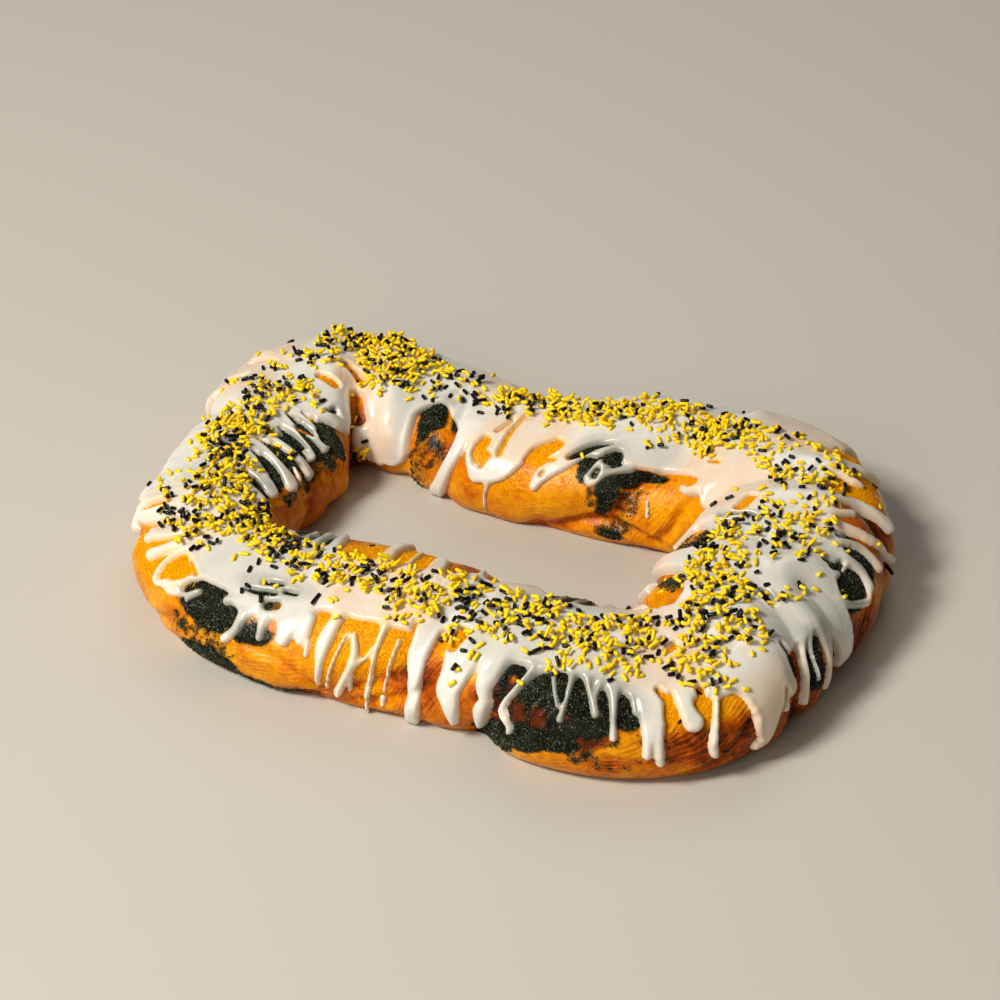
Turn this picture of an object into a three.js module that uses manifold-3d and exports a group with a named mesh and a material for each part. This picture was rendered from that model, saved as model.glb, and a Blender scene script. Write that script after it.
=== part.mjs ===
import * as THREE from 'three';
import Module from 'manifold-3d';

// King cake: a ring of twisted sweet dough, baked whole, with thin white icing poured along its crest
// that runs down both sides, and rod-shaped sugar sprinkles lying on the icing.
// Millimetres, +Z up. The flat underside lies on z = 0, the origin is under the middle of the ring's
// box, and the ring's long legs run along X.
//
// A place on the ring is given by two numbers. "station" counts round the ring, against the clock seen
// from above, from the left end of the front leg. "across" runs over the dough from the foot of the
// outer side, -1, by the crest, 0, to the foot of the hole's side, 1.

// ---- Driving dimensions ----

// Two rounded rectangles, the ring's widest lines outside and round the hole
const RING_MIDDLE = [-2.03, -1.844];
const OUTER_LINE = { halfLength: 222, halfWidth: 156, corner: 128 };
const HOLE_LINE = { halfLength: 118, halfWidth: 50, corner: 24 };
const LEG_SPANS = 4;
const CORNER_SPANS = 4;
const SIDE_SPANS = 2;

// Hand-shaped unevenness, one value for each station: front leg, front right corner, right leg,
// back right corner, back leg, back left corner, left leg, front left corner
const OUTER_SWELL = [
  -2, 0, -5, -4, 8, 7, 4, -5, -6, 0, 3, 8, 15, 14,
  6, 1, -12, -7, 6, 19, 22, 10, -10, -10, -12, -11, -11, -8,
];
const HOLE_SWELL = [
  -1, -5, -2, 4, 2, -2, -8, -13, -16, -15, -12, -8, -2, 2,
  4, 0, -2, 2, 20, 24, 14, -3, -2, -1, 3, 5, 4, 3,
];
const CREST_HEIGHT = [
  53, 58, 59, 55, 58, 55, 58, 61, 63, 64, 66, 68, 67, 65,
  60, 59, 52, 50, 50, 53, 54, 51, 51, 51, 51, 52, 50, 50,
];

// Section of the dough: a dome that is widest a little above its foot
const WIDEST_AT = 0.36;
const DOME_POWER = 2.15;
const SHOULDER = 0.74;
const TUCK = 0.74;

// Folds where one strand of the twist passes under the next: a line over the dough and its depth
const FOLD_HALF_WIDTH = 8.5;
const FOLD_LIP = 0.35;
const FOLD_LIP_AT = 19;
const FOLDS = [
  { depth: 3.5, line: [[0.9, -0.97], [2.1, -0.6], [2.6, 0.1], [2.9, 0.95]] },
  { depth: 6, line: [[3.0, -0.97], [3.3, -0.6], [3.8, -0.1], [4.4, 0.5], [4.8, 0.95]] },
  { depth: 5, line: [[7.0, -0.97], [7.1, -0.6], [7.4, -0.25], [7.9, 0.2], [8.6, 0.9]] },
  { depth: 4.5, line: [[7.9, -0.97], [7.9, -0.6], [8.1, -0.3]] },
  { depth: 5, line: [[10.2, -0.97], [10.6, -0.6], [11.0, -0.25], [11.8, 0.3], [12.6, 0.95]] },
  { depth: 4.5, line: [[13.2, -0.97], [13.7, -0.4], [14.2, 0.2], [14.8, 0.7], [15.8, 0.97]] },
  { depth: 4.5, line: [[16.3, -0.9], [16.8, -0.3], [17.15, 0.2], [17.2, 0.7], [17.3, 0.97]] },
  { depth: 3.5, line: [[17.7, 0.15], [17.85, 0.97]] },
  { depth: 7, line: [[18.6, -0.9], [19.0, -0.3], [19.3, 0.25], [19.4, 0.97]] },
  { depth: 3.5, line: [[21.2, -0.95], [21.9, -0.3], [22.6, 0.4], [23.4, 0.95]] },
  { depth: 4, line: [[24.7, -0.95], [25.3, -0.55], [25.9, 0], [26.6, 0.7], [27, 0.95]] },
];

// Icing: a poured sheet between two uneven edges, one "across" value for each station
const ICING = { thick: 2.2, runThick: 2.8, gap: 0.4, lowest: 0.95 };
const ICING_OUTER_EDGE = [
  -0.47, -0.36, -0.3, -0.4, -0.27, -0.36, -0.5, -0.42, -0.55, -0.38, -0.33, -0.26, -0.3, -0.42,
  -0.45, -0.5, -0.4, -0.45, -0.4, -0.38, -0.42, -0.5, -0.5, -0.52, -0.45, -0.36, -0.3, -0.33,
];
const ICING_HOLE_EDGE = [
  0.2, 0.1, 0.06, 0.3, 0.3, 0.3, 0.22, 0.35, 0.38, 0.3, 0.42, 0.5, 0.5, 0.42,
  0.32, 0.25, 0.35, 0.2, 0.6, 0.3, 0.33, 0.27, 0.25, 0.25, 0.27, 0.32, 0.38, 0.3,
];

// Runs of icing: station of the root, station and "across" of the tip, width
const RUNS = [
  [0.5, 0.5, -0.57, 14], [1.15, 1.1, -0.8, 7], [1.5, 1.34, -0.85, 7], [1.75, 1.66, -0.93, 5.5],
  [2.27, 2.15, -0.93, 10.5], [2.75, 2.73, -0.9, 14], [3.15, 3.05, -0.85, 9], [3.6, 3.48, -0.74, 7],
  [4.6, 4.68, -0.6, 7], [5.1, 5.09, -0.76, 14], [5.49, 5.49, -0.55, 12], [5.8, 5.7, -0.79, 7],
  [6.4, 6.38, -0.88, 24], [7.25, 7.13, -0.82, 7], [7.7, 7.7, -0.84, 12], [8.3, 8.3, -0.87, 15],
  [9.6, 9.6, -0.66, 7], [10.5, 10.65, -0.74, 8], [10.9, 11.1, -0.64, 8], [26.4, 26.4, -0.6, 7],
  [26.85, 26.8, -0.56, 9], [27.8, 27.8, -0.66, 8],
  [0.6, 0.6, 0.36, 8], [1.4, 1.37, 0.46, 9], [2.9, 2.95, 0.52, 15], [4.2, 4.2, 0.5, 12],
  [15.2, 15.2, 0.5, 7], [15.75, 15.9, 0.6, 9], [16.4, 16.6, 0.63, 15], [17.1, 17.3, 0.9, 9],
  [18.2, 18.2, 0.88, 30], [19.75, 19.85, 0.62, 8], [21.6, 21.8, 0.47, 12], [22.3, 22.5, 0.44, 8],
  [22.85, 22.97, 0.55, 8], [23.35, 23.6, 0.53, 9], [24.2, 24.4, 0.45, 12],
];
// Where the icing runs down in a plain row, from one station to another on one side
const RUN_ROWS = [
  { from: 12.3, to: 21.2, side: -1, apart: 1.5 },
  { from: 22.2, to: 25.6, side: -1, apart: 1.3 },
  { from: 6.6, to: 13, side: 1, apart: 2.4 },
];
const ROW_RUN = { least: 0.12, spread: 0.3, lowest: 0.9, width: 7, widthSpread: 4, lean: 0.2, seed: 31 };
// Outline of a run: the slope of its flanks in stations, and how much of its width and its end is straight
const RUN_SLOPE = 0.03;
const RUN_FLAT = 0.6;
const RUN_ROUND = 0.4;
const LEAN_FROM = 0.3;

// Gaps in the icing sheet that show the dough: station, across, half sizes along and down
const WINDOWS = [
  [9.1, -0.46, 8, 5.5],
  [0.33, -0.33, 4.5, 3],
];

// Sprinkles
const SPRINKLE = {
  radius: 0.95, length: 7, sides: 5, sunk: 0.55, count: 62, spacing: 12, fromEdge: 0.07,
  bandMiddle: -0.03, bandWidth: 0.22, seed: 7,
};

// Facets
const DOUGH_COLUMNS = 88;
const DOUGH_ROWS = 14;
const OUTLINE_STEP = 0.5;
const OUTLINE_START = 0.11;
const CUTTER_STEPS = 5;
const CUTTER_DEPTH = -4;
const CUTTER_HEIGHT = 12;
const CUTTER_NARROWING = 8;
const WINDOW_SIDES = 12;
const WINDOW_LIFTS = [6, -3];

const DOUGH_FINISH = new THREE.MeshStandardMaterial({ color: '#c9791f', roughness: 0.45, metalness: 0 });
const ICING_FINISH = new THREE.MeshStandardMaterial({ color: '#e6e0d6', roughness: 0.3, metalness: 0 });

// ---- The ring's own shape ----

const STATIONS = 2 * (LEG_SPANS + SIDE_SPANS) + 4 * CORNER_SPANS;

// Stations of a rounded rectangle, each pushed out by its swell; z carries the crest height
function roundedLine({ halfLength, halfWidth, corner }, swell) {
  const points = [];
  const add = (x, y, outX, outY) => {
    const push = swell[points.length];
    const height = CREST_HEIGHT[points.length];
    points.push(new THREE.Vector3(RING_MIDDLE[0] + x + outX * push, RING_MIDDLE[1] + y + outY * push, height));
  };
  for (let quarter = 0; quarter < 4; quarter++) {
    const onLeg = quarter % 2 === 0;
    const turn = quarter * Math.PI / 2;
    const halfRun = (onLeg ? halfLength : halfWidth) - corner;
    const reach = onLeg ? halfWidth : halfLength;
    const spans = onLeg ? LEG_SPANS : SIDE_SPANS;
    const place = (along, out, outAngle) => add(
      along * Math.cos(turn) + out * Math.sin(turn), along * Math.sin(turn) - out * Math.cos(turn),
      Math.cos(outAngle), Math.sin(outAngle),
    );
    for (let i = 0; i < spans; i++) {
      place(-halfRun + 2 * halfRun * i / spans, reach, turn - Math.PI / 2);
    }
    for (let i = 0; i < CORNER_SPANS; i++) {
      const swing = Math.PI / 2 * i / CORNER_SPANS;
      place(
        halfRun + corner * Math.sin(swing), reach - corner + corner * Math.cos(swing),
        turn - Math.PI / 2 + swing,
      );
    }
  }
  return new THREE.CatmullRomCurve3(points, true, 'centripetal');
}

const outerLine = roundedLine(OUTER_LINE, OUTER_SWELL);
const holeLine = roundedLine(HOLE_LINE, HOLE_SWELL);

const turnOf = (station) => ((station / STATIONS) % 1 + 1) % 1;

// How far out and how high the section is at "across", for a half width of 1
function section(across, crest) {
  const a = Math.abs(across);
  const widest = WIDEST_AT * crest;
  if (a <= SHOULDER) {
    const angle = Math.PI / 2 * (1 - a / SHOULDER);
    return [
      Math.cos(angle) ** (2 / DOME_POWER),
      widest + (crest - widest) * Math.sin(angle) ** (2 / DOME_POWER),
    ];
  }
  const down = (a - SHOULDER) / (1 - SHOULDER);
  return [Math.cbrt(1 - (TUCK * down) ** 3), widest * (1 - down)];
}

// The plain dome, before the folds
function domePoint(station, across) {
  const outer = outerLine.getPoint(turnOf(station));
  const hole = holeLine.getPoint(turnOf(station));
  const [out, height] = section(across, outer.z);
  const share = 0.5 - 0.5 * Math.sign(across) * out;
  return new THREE.Vector3(
    hole.x + (outer.x - hole.x) * share, hole.y + (outer.y - hole.y) * share, height,
  );
}

function domeNormal(station, across) {
  const step = 0.02;
  const high = Math.min(across + step, 1);
  const low = Math.max(across - step, -1);
  const along = domePoint(station + step, across).sub(domePoint(station - step, across));
  const over = domePoint(station, high).sub(domePoint(station, low));
  return along.cross(over).normalize();
}

// Millimetres along the ring that one station is worth at a place
function stationSize(station, across) {
  return domePoint(station + 0.1, across).distanceTo(domePoint(station - 0.1, across)) / 0.2;
}

const foldPoints = FOLDS.map(({ depth, line }) => {
  const points = [];
  for (let i = 0; i + 1 < line.length; i++) {
    const steps = 14;
    for (let k = 0; k <= steps; k++) {
      const t = k / steps;
      points.push(domePoint(
        line[i][0] + (line[i + 1][0] - line[i][0]) * t, line[i][1] + (line[i + 1][1] - line[i][1]) * t,
      ));
    }
  }
  return { depth, points };
});

// A groove at each fold with a low swelling on both sides of it
function foldRelief(point) {
  let relief = 0;
  for (const { depth, points } of foldPoints) {
    const away = Math.min(...points.map((p) => p.distanceTo(point)));
    const lip = Math.exp(-(((away - FOLD_LIP_AT) / FOLD_LIP_AT * 1.4) ** 2));
    relief += depth * (FOLD_LIP * lip - Math.exp(-((away / FOLD_HALF_WIDTH) ** 1.5)));
  }
  return relief;
}

// The dough's grid of vertices: columns round the ring, rows over the section
const doughGrid = [];
for (let column = 0; column < DOUGH_COLUMNS; column++) {
  const station = column / DOUGH_COLUMNS * STATIONS;
  const rows = [];
  for (let row = 0; row <= DOUGH_ROWS; row++) {
    const across = 2 * row / DOUGH_ROWS - 1;
    const point = domePoint(station, across);
    const normal = domeNormal(station, across);
    const isFoot = row === 0 || row === DOUGH_ROWS;
    const relief = foldRelief(point);
    point.addScaledVector(normal, relief);
    point.z = isFoot ? 0 : Math.max(point.z, 0.5);
    rows.push({ point, normal });
  }
  doughGrid.push(rows);
}

// A point that lies a given height above the faceted dough
function onDough(station, across, lift) {
  const x = turnOf(station) * DOUGH_COLUMNS;
  const y = Math.min(Math.max((across + 1) / 2 * DOUGH_ROWS, 0), DOUGH_ROWS - 1e-6);
  const column = Math.floor(x) % DOUGH_COLUMNS;
  const row = Math.floor(y);
  const right = x - Math.floor(x);
  const up = y - row;
  const sharpest = Math.max(right, up);
  const corners = [
    [0, 0, 1 - sharpest],
    [right > up ? 1 : 0, right > up ? 0 : 1, Math.abs(right - up)],
    [1, 1, Math.min(right, up)],
  ];
  const blend = (key) => corners.reduce((sum, [c, r, share]) => (
    sum.addScaledVector(doughGrid[(column + c) % DOUGH_COLUMNS][row + r][key], share)
  ), new THREE.Vector3());
  return blend('point').addScaledVector(blend('normal').normalize(), lift);
}

// ---- Solids ----

const wasm = await Module();
wasm.setup();

// Six times the volume that a closed set of triangles holds, negative if they point inwards
function signedVolume(points, triangles) {
  let sum = 0;
  for (let i = 0; i < triangles.length; i += 3) {
    const [a, b, c] = [0, 1, 2].map((k) => points[triangles[i + k]]);
    sum += a.dot(b.clone().cross(c));
  }
  return sum;
}

function closedSolid(points, triangles) {
  if (signedVolume(points, triangles) < 0) {
    triangles.reverse();
  }
  return new wasm.Manifold(new wasm.Mesh({
    numProp: 3,
    vertProperties: new Float32Array(points.flatMap((p) => [p.x, p.y, p.z])),
    triVerts: new Uint32Array(triangles),
  }));
}

// A solid from rings of points joined one to the next, closed by fans or round into a loop
function loft(rings, isLoop) {
  const sides = rings[0].length;
  const points = rings.flat();
  const triangles = [];
  const last = isLoop ? rings.length : rings.length - 1;
  for (let r = 0; r < last; r++) {
    const next = (r + 1) % rings.length;
    for (let k = 0; k < sides; k++) {
      const k2 = (k + 1) % sides;
      const a = r * sides + k;
      const b = r * sides + k2;
      const c = next * sides + k2;
      const d = next * sides + k;
      triangles.push(a, b, c, a, c, d);
    }
  }
  if (!isLoop) {
    for (const [first, turned] of [[0, true], [(rings.length - 1) * sides, false]]) {
      for (let k = 1; k + 1 < sides; k++) {
        triangles.push(first, first + (turned ? k + 1 : k), first + (turned ? k : k + 1));
      }
    }
  }
  return closedSolid(points, triangles);
}

// The triangles that hang together with the most others, without the loose scraps a cut can leave
function largestPiece(triangles, pointCount) {
  const parent = Array.from({ length: pointCount }, (_, i) => i);
  const find = (i) => {
    let at = i;
    while (parent[at] !== at) {
      parent[at] = parent[parent[at]];
      at = parent[at];
    }
    return at;
  };
  for (let i = 0; i < triangles.length; i += 3) {
    parent[find(triangles[i + 1])] = find(triangles[i]);
    parent[find(triangles[i + 2])] = find(triangles[i]);
  }
  const sizes = new Map();
  triangles.forEach((i) => sizes.set(find(i), (sizes.get(find(i)) ?? 0) + 1));
  const [[largest]] = [...sizes].sort((a, b) => b[1] - a[1]);
  return triangles.filter((i) => find(i) === largest);
}

function toGeometry(solid) {
  const mesh = solid.getMesh();
  const triangles = largestPiece(Array.from(mesh.triVerts), mesh.vertProperties.length / 3);
  const geometry = new THREE.BufferGeometry();
  geometry.setAttribute('position', new THREE.BufferAttribute(Float32Array.from(mesh.vertProperties), 3));
  geometry.setIndex(triangles);
  geometry.computeVertexNormals();
  return geometry;
}

function doughSolid() {
  return loft(doughGrid.map((rows) => rows.map(({ point }) => point)), true);
}

function edgeAt(edges, station) {
  const at = turnOf(station) * STATIONS;
  const i = Math.floor(at);
  return THREE.MathUtils.lerp(edges[i], edges[(i + 1) % STATIONS], THREE.MathUtils.smoothstep(at - i, 0, 1));
}

// A shell over nearly the whole dough, split into the same triangles as the dough under it
function shellSolid() {
  const acrosses = doughGrid[0].map((_, row) => 2 * row / DOUGH_ROWS - 1);
  acrosses[0] = -ICING.lowest;
  acrosses[DOUGH_ROWS] = ICING.lowest;
  const points = [];
  const columns = doughGrid.map((_, column) => acrosses.map((across) => {
    const station = column / DOUGH_COLUMNS * STATIONS;
    const isRun = Math.abs(across) > baseAt(across, station);
    points.push(onDough(station, across, isRun ? ICING.runThick : ICING.thick));
    points.push(onDough(station, across, ICING.gap));
    return { top: points.length - 2, bottom: points.length - 1 };
  }));
  const triangles = [];
  const both = (a, b, c) => triangles.push(a.top, b.top, c.top, c.bottom, b.bottom, a.bottom);
  columns.forEach((near, column) => {
    const far = columns[(column + 1) % DOUGH_COLUMNS];
    for (let row = 0; row < DOUGH_ROWS; row++) {
      both(near[row], near[row + 1], far[row + 1]);
      both(near[row], far[row + 1], far[row]);
    }
    for (const [a, b] of [[near[0], far[0]], [far[DOUGH_ROWS], near[DOUGH_ROWS]]]) {
      triangles.push(a.top, b.top, b.bottom, a.top, b.bottom, a.bottom);
    }
  });
  return closedSolid(points, triangles);
}

// How far down one side the icing reaches between its runs
function baseAt(side, station) {
  return Math.abs(edgeAt(side < 0 ? ICING_OUTER_EDGE : ICING_HOLE_EDGE, station));
}

const runs = [...RUNS, ...rowRuns()].map(([root, tipStation, tipAcross, width]) => {
  const side = Math.sign(tipAcross);
  const tip = Math.abs(tipAcross);
  return {
    side, root, tip,
    half: width / 2 / stationSize(root, side * tip),
    shoulder: tip - width * RUN_ROUND / domePoint(root, 0).distanceTo(domePoint(root, side)),
    lean: (tipStation - root) / (tip - LEAN_FROM),
  };
}).sort((a, b) => a.root - b.root);

// How far down one side the icing reaches, runs and all
function reachAt(side, station) {
  let reach = baseAt(side, station);
  for (const run of runs) {
    const off = Math.abs(station - run.root) - run.half;
    if (run.side === side && off < RUN_SLOPE) {
      const flank = THREE.MathUtils.mapLinear(off, RUN_SLOPE, 0, reach, run.shoulder);
      const end = THREE.MathUtils.mapLinear(off, 0, -run.half * (1 - RUN_FLAT), run.shoulder, run.tip);
      reach = Math.max(reach, off > 0 ? flank : Math.min(end, run.tip));
    }
  }
  return reach;
}

// Runs lean along the ring as they go down: stations for each unit of "across" below the crest's own part
function leanAt(side, station) {
  const own = runs.filter((run) => run.side === side);
  const after = own.findIndex((run) => run.root > station);
  if (after <= 0) {
    return 0;
  }
  const [low, high] = [own[after - 1], own[after]];
  return THREE.MathUtils.mapLinear(station, low.root, high.root, low.lean, high.lean);
}

// What lies below the icing's outline on one side: taken from the shell, it leaves the sheet and its runs
function outlineCutter(side) {
  const stations = Array.from({ length: STATIONS / OUTLINE_STEP }, (_, i) => i * OUTLINE_STEP + OUTLINE_START);
  for (const { root, half } of runs.filter((run) => run.side === side)) {
    for (const off of [half + RUN_SLOPE, half, half * RUN_FLAT]) {
      stations.push(root - off, root + off);
    }
  }
  const sorted = stations.sort((a, b) => a - b).filter((s, i, all) => i === 0 || s - all[i - 1] > 0.004);
  return loft(sorted.map((station) => {
    const reach = reachAt(side, station);
    const lean = leanAt(side, station);
    const high = [];
    const low = [];
    for (let k = 0; k <= CUTTER_STEPS; k++) {
      const down = reach + (1 - reach) * k / CUTTER_STEPS;
      const at = station + lean * Math.max(down - LEAN_FROM, 0);
      high.push(onDough(at, side * down, CUTTER_HEIGHT - (side > 0 ? CUTTER_NARROWING * down : 0)));
      low.push(onDough(at, side * down, CUTTER_DEPTH));
    }
    return [...high, ...low.reverse()];
  }), true);
}

// A round plug that cuts a window through the sheet
function windowSolid([station, across, halfAlong, halfDown]) {
  const downSize = domePoint(station, across).distanceTo(domePoint(station, across + 0.02)) / 0.02;
  const alongSize = stationSize(station, across);
  return loft(WINDOW_LIFTS.map((lift) => Array.from({ length: WINDOW_SIDES }, (_, k) => {
    const angle = -k / WINDOW_SIDES * 2 * Math.PI;
    return onDough(
      station + Math.cos(angle) * halfAlong / alongSize, across + Math.sin(angle) * halfDown / downSize, lift,
    );
  })), false);
}

function randomFrom(seed) {
  let state = seed;
  return () => {
    state = (state + 0x6d2b79f5) | 0;
    let mixed = Math.imul(state ^ (state >>> 15), 1 | state);
    mixed = (mixed + Math.imul(mixed ^ (mixed >>> 7), 61 | mixed)) ^ mixed;
    return ((mixed ^ (mixed >>> 14)) >>> 0) / 4294967296;
  };
}

// Further runs, in rows along the sides, by a seeded draw
function rowRuns() {
  const random = randomFrom(ROW_RUN.seed);
  const made = [];
  for (const { from, to, side, apart } of RUN_ROWS) {
    for (let station = from; station < to; station += apart * (0.8 + 0.4 * random())) {
      const tip = Math.min(baseAt(side, station) + ROW_RUN.least + ROW_RUN.spread * random(), ROW_RUN.lowest);
      const tipStation = station + ROW_RUN.lean * (random() - 0.5);
      made.push([station, tipStation, side * tip, ROW_RUN.width + ROW_RUN.widthSpread * random()]);
    }
  }
  return made;
}

// A rod that lies on the icing, sunk a little into it
function sprinkleSolid(station, across, turn) {
  const { radius, length, sides } = SPRINKLE;
  const middle = onDough(station, across, ICING.thick + radius * (1 - SPRINKLE.sunk));
  const normal = domeNormal(station, across);
  const along = onDough(station + 0.05, across, 0).sub(onDough(station - 0.05, across, 0)).normalize();
  const heading = along.applyAxisAngle(normal, turn);
  heading.addScaledVector(normal, -heading.dot(normal)).normalize();
  const aside = normal.clone().cross(heading);
  const ring = (end) => Array.from({ length: sides }, (_, k) => {
    const angle = (k + 0.5) / sides * 2 * Math.PI;
    return middle.clone().addScaledVector(heading, end * length / 2)
      .addScaledVector(aside, Math.cos(angle) * radius)
      .addScaledVector(normal, Math.sin(angle) * radius);
  });
  return loft([ring(-1), ring(1)], false);
}

// Sprinkles lie along the crest by a seeded draw, none closer to another than the spacing
function sprinkleSolids() {
  const random = randomFrom(SPRINKLE.seed);
  const placed = [];
  const solids = [];
  while (solids.length < SPRINKLE.count) {
    const station = random() * STATIONS;
    const across = SPRINKLE.bandMiddle + SPRINKLE.bandWidth * (random() + random() + random() - 1.5);
    const turn = random() * Math.PI;
    const point = onDough(station, across, 0);
    const isFree = placed.every((p) => p.distanceTo(point) > SPRINKLE.spacing);
    if (isFree && Math.abs(across) < baseAt(across, station) - SPRINKLE.fromEdge) {
      placed.push(point);
      solids.push(sprinkleSolid(station, across, turn));
    }
  }
  return solids;
}

function icingSolid() {
  let icing = shellSolid().subtract(outlineCutter(-1)).subtract(outlineCutter(1));
  for (const gap of WINDOWS) {
    icing = icing.subtract(windowSolid(gap));
  }
  for (const sprinkle of sprinkleSolids()) {
    icing = icing.add(sprinkle);
  }
  return icing;
}

// ---- The cake ----

const cake = new THREE.Group();

const dough = new THREE.Mesh(toGeometry(doughSolid()), DOUGH_FINISH);
dough.name = 'dough_ring';
cake.add(dough);

const icing = new THREE.Mesh(toGeometry(icingSolid()), ICING_FINISH);
icing.name = 'icing';
cake.add(icing);

export default cake;
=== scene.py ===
from math import ceil, cos, pi, radians, sin

import bmesh
import bpy
import numpy as np
from mathutils import Matrix, Vector


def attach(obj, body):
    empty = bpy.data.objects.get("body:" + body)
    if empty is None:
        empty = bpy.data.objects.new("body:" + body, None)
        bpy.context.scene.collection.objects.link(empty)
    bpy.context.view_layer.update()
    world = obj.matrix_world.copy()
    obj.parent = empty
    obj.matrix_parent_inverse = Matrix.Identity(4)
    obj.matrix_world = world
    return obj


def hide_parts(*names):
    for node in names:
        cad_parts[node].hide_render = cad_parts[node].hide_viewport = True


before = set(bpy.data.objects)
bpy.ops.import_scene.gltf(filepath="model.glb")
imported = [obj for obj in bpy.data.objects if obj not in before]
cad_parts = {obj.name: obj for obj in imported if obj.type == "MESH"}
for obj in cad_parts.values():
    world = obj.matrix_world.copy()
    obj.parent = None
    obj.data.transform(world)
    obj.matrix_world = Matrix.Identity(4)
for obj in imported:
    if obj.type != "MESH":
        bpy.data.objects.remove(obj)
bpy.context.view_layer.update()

# King cake: a ring of twisted sweet dough with coloured sanding sugar, thin white icing poured along
# its crest that runs down both sides, and rod-shaped sugar sprinkles piled on the icing.
#
# A place on the ring is given by two numbers. "station" counts round the ring, against the clock seen
# from above, from the left end of the front leg. "across" runs over the dough from the foot of the
# outer side, -1, by the crest, 0, to the foot of the hole's side, 1. Lengths are in millimetres.

MM = 0.001

# ---- The ring, with the same named sizes as the solids ----

RING_MIDDLE = (-2.03, -1.844)
OUTER_LINE = (222, 156, 128)
HOLE_LINE = (118, 50, 24)
LEG_SPANS = 4
CORNER_SPANS = 4
SIDE_SPANS = 2
STATIONS = 28
# Millimetres along the crest for one station and over the dough for one unit of "across", and the
# least of each, for a search round a line
STATION_SPAN = 40
ACROSS_SPAN = 78
LEAST_STATION_SPAN = 18
LEAST_ACROSS_SPAN = 60
OUTER_SWELL = [
    -2, 0, -5, -4, 8, 7, 4, -5, -6, 0, 3, 8, 15, 14,
    6, 1, -12, -7, 6, 19, 22, 10, -10, -10, -12, -11, -11, -8,
]
HOLE_SWELL = [
    -1, -5, -2, 4, 2, -2, -8, -13, -16, -15, -12, -8, -2, 2,
    4, 0, -2, 2, 20, 24, 14, -3, -2, -1, 3, 5, 4, 3,
]
CREST_HEIGHT = [
    53, 58, 59, 55, 58, 55, 58, 61, 63, 64, 66, 68, 67, 65,
    60, 59, 52, 50, 50, 53, 54, 51, 51, 51, 51, 52, 50, 50,
]
WIDEST_AT = 0.36
DOME_POWER = 2.15
SHOULDER = 0.74
TUCK = 0.74
FOLD_HALF_WIDTH = 8.5
FOLD_LIP = 0.35
FOLD_LIP_AT = 19
FOLD_REACH = 2.6
FOLD_STEPS = 14
# Depth and line of each fold where one strand lies on the next
FOLDS = [
    (3.5, [(0.9, -0.97), (2.1, -0.6), (2.6, 0.1), (2.9, 0.95)]),
    (6, [(3.0, -0.97), (3.3, -0.6), (3.8, -0.1), (4.4, 0.5), (4.8, 0.95)]),
    (5, [(7.0, -0.97), (7.1, -0.6), (7.4, -0.25), (7.9, 0.2), (8.6, 0.9)]),
    (4.5, [(7.9, -0.97), (7.9, -0.6), (8.1, -0.3)]),
    (5, [(10.2, -0.97), (10.6, -0.6), (11.0, -0.25), (11.8, 0.3), (12.6, 0.95)]),
    (4.5, [(13.2, -0.97), (13.7, -0.4), (14.2, 0.2), (14.8, 0.7), (15.8, 0.97)]),
    (4.5, [(16.3, -0.9), (16.8, -0.3), (17.15, 0.2), (17.2, 0.7), (17.3, 0.97)]),
    (3.5, [(17.7, 0.15), (17.85, 0.97)]),
    (7, [(18.6, -0.9), (19.0, -0.3), (19.3, 0.25), (19.4, 0.97)]),
    (3.5, [(21.2, -0.95), (21.9, -0.3), (22.6, 0.4), (23.4, 0.95)]),
    (4, [(24.7, -0.95), (25.3, -0.55), (25.9, 0), (26.6, 0.7), (27, 0.95)]),
]
# Narrow creases: depth, half width, line
CREASES = [
    (2.2, 3.0, [(1.2, -0.97), (2.0, -0.8), (2.5, -0.55), (2.75, -0.2)]),
    (1.8, 2.6, [(3.4, -0.72), (3.75, -0.62), (3.95, -0.45)]),
    (1.6, 2.5, [(5.2, -0.97), (5.8, -0.85), (6.2, -0.62)]),
    (2.6, 3.2, [(14.2, 0.9), (14.7, 0.79), (15.2, 0.82), (15.6, 0.96)]),
    (2.2, 3.0, [(13.2, 0.5), (13.8, 0.62), (14.3, 0.86)]),
    (1.8, 2.6, [(14.5, 0.42), (14.75, 0.6), (14.8, 0.8)]),
    (1.2, 3.0, [(22.2, 0.95), (22.8, 0.75), (23.6, 0.62), (24.6, 0.58)]),
    (1.8, 2.8, [(0.1, -0.62), (0.6, -0.68), (1.1, -0.86)]),
    (2.0, 3.0, [(26.1, -0.97), (26.7, -0.8), (27.1, -0.6)]),
    (2.0, 3.0, [(8.5, -0.95), (9.1, -0.75), (9.6, -0.62)]),
    (2.0, 3.0, [(12.2, -0.97), (12.7, -0.7), (12.9, -0.45)]),
    (2.0, 3.0, [(15.2, -0.97), (15.6, -0.7), (15.8, -0.5)]),
    (2.0, 3.0, [(20.1, -0.97), (20.5, -0.7), (20.8, -0.5)]),
    (2.0, 3.0, [(23.1, -0.97), (23.5, -0.75), (23.8, -0.5)]),
]
# How wide a patch of wrinkles is searched, in millimetres of it for a station, and how far its lines
# bend, over what size, with what seed
WRINKLE_SEARCH = 14
WRINKLE_BENDS = ((2.6, 16, 5), (1.1, 6, 6))
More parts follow.
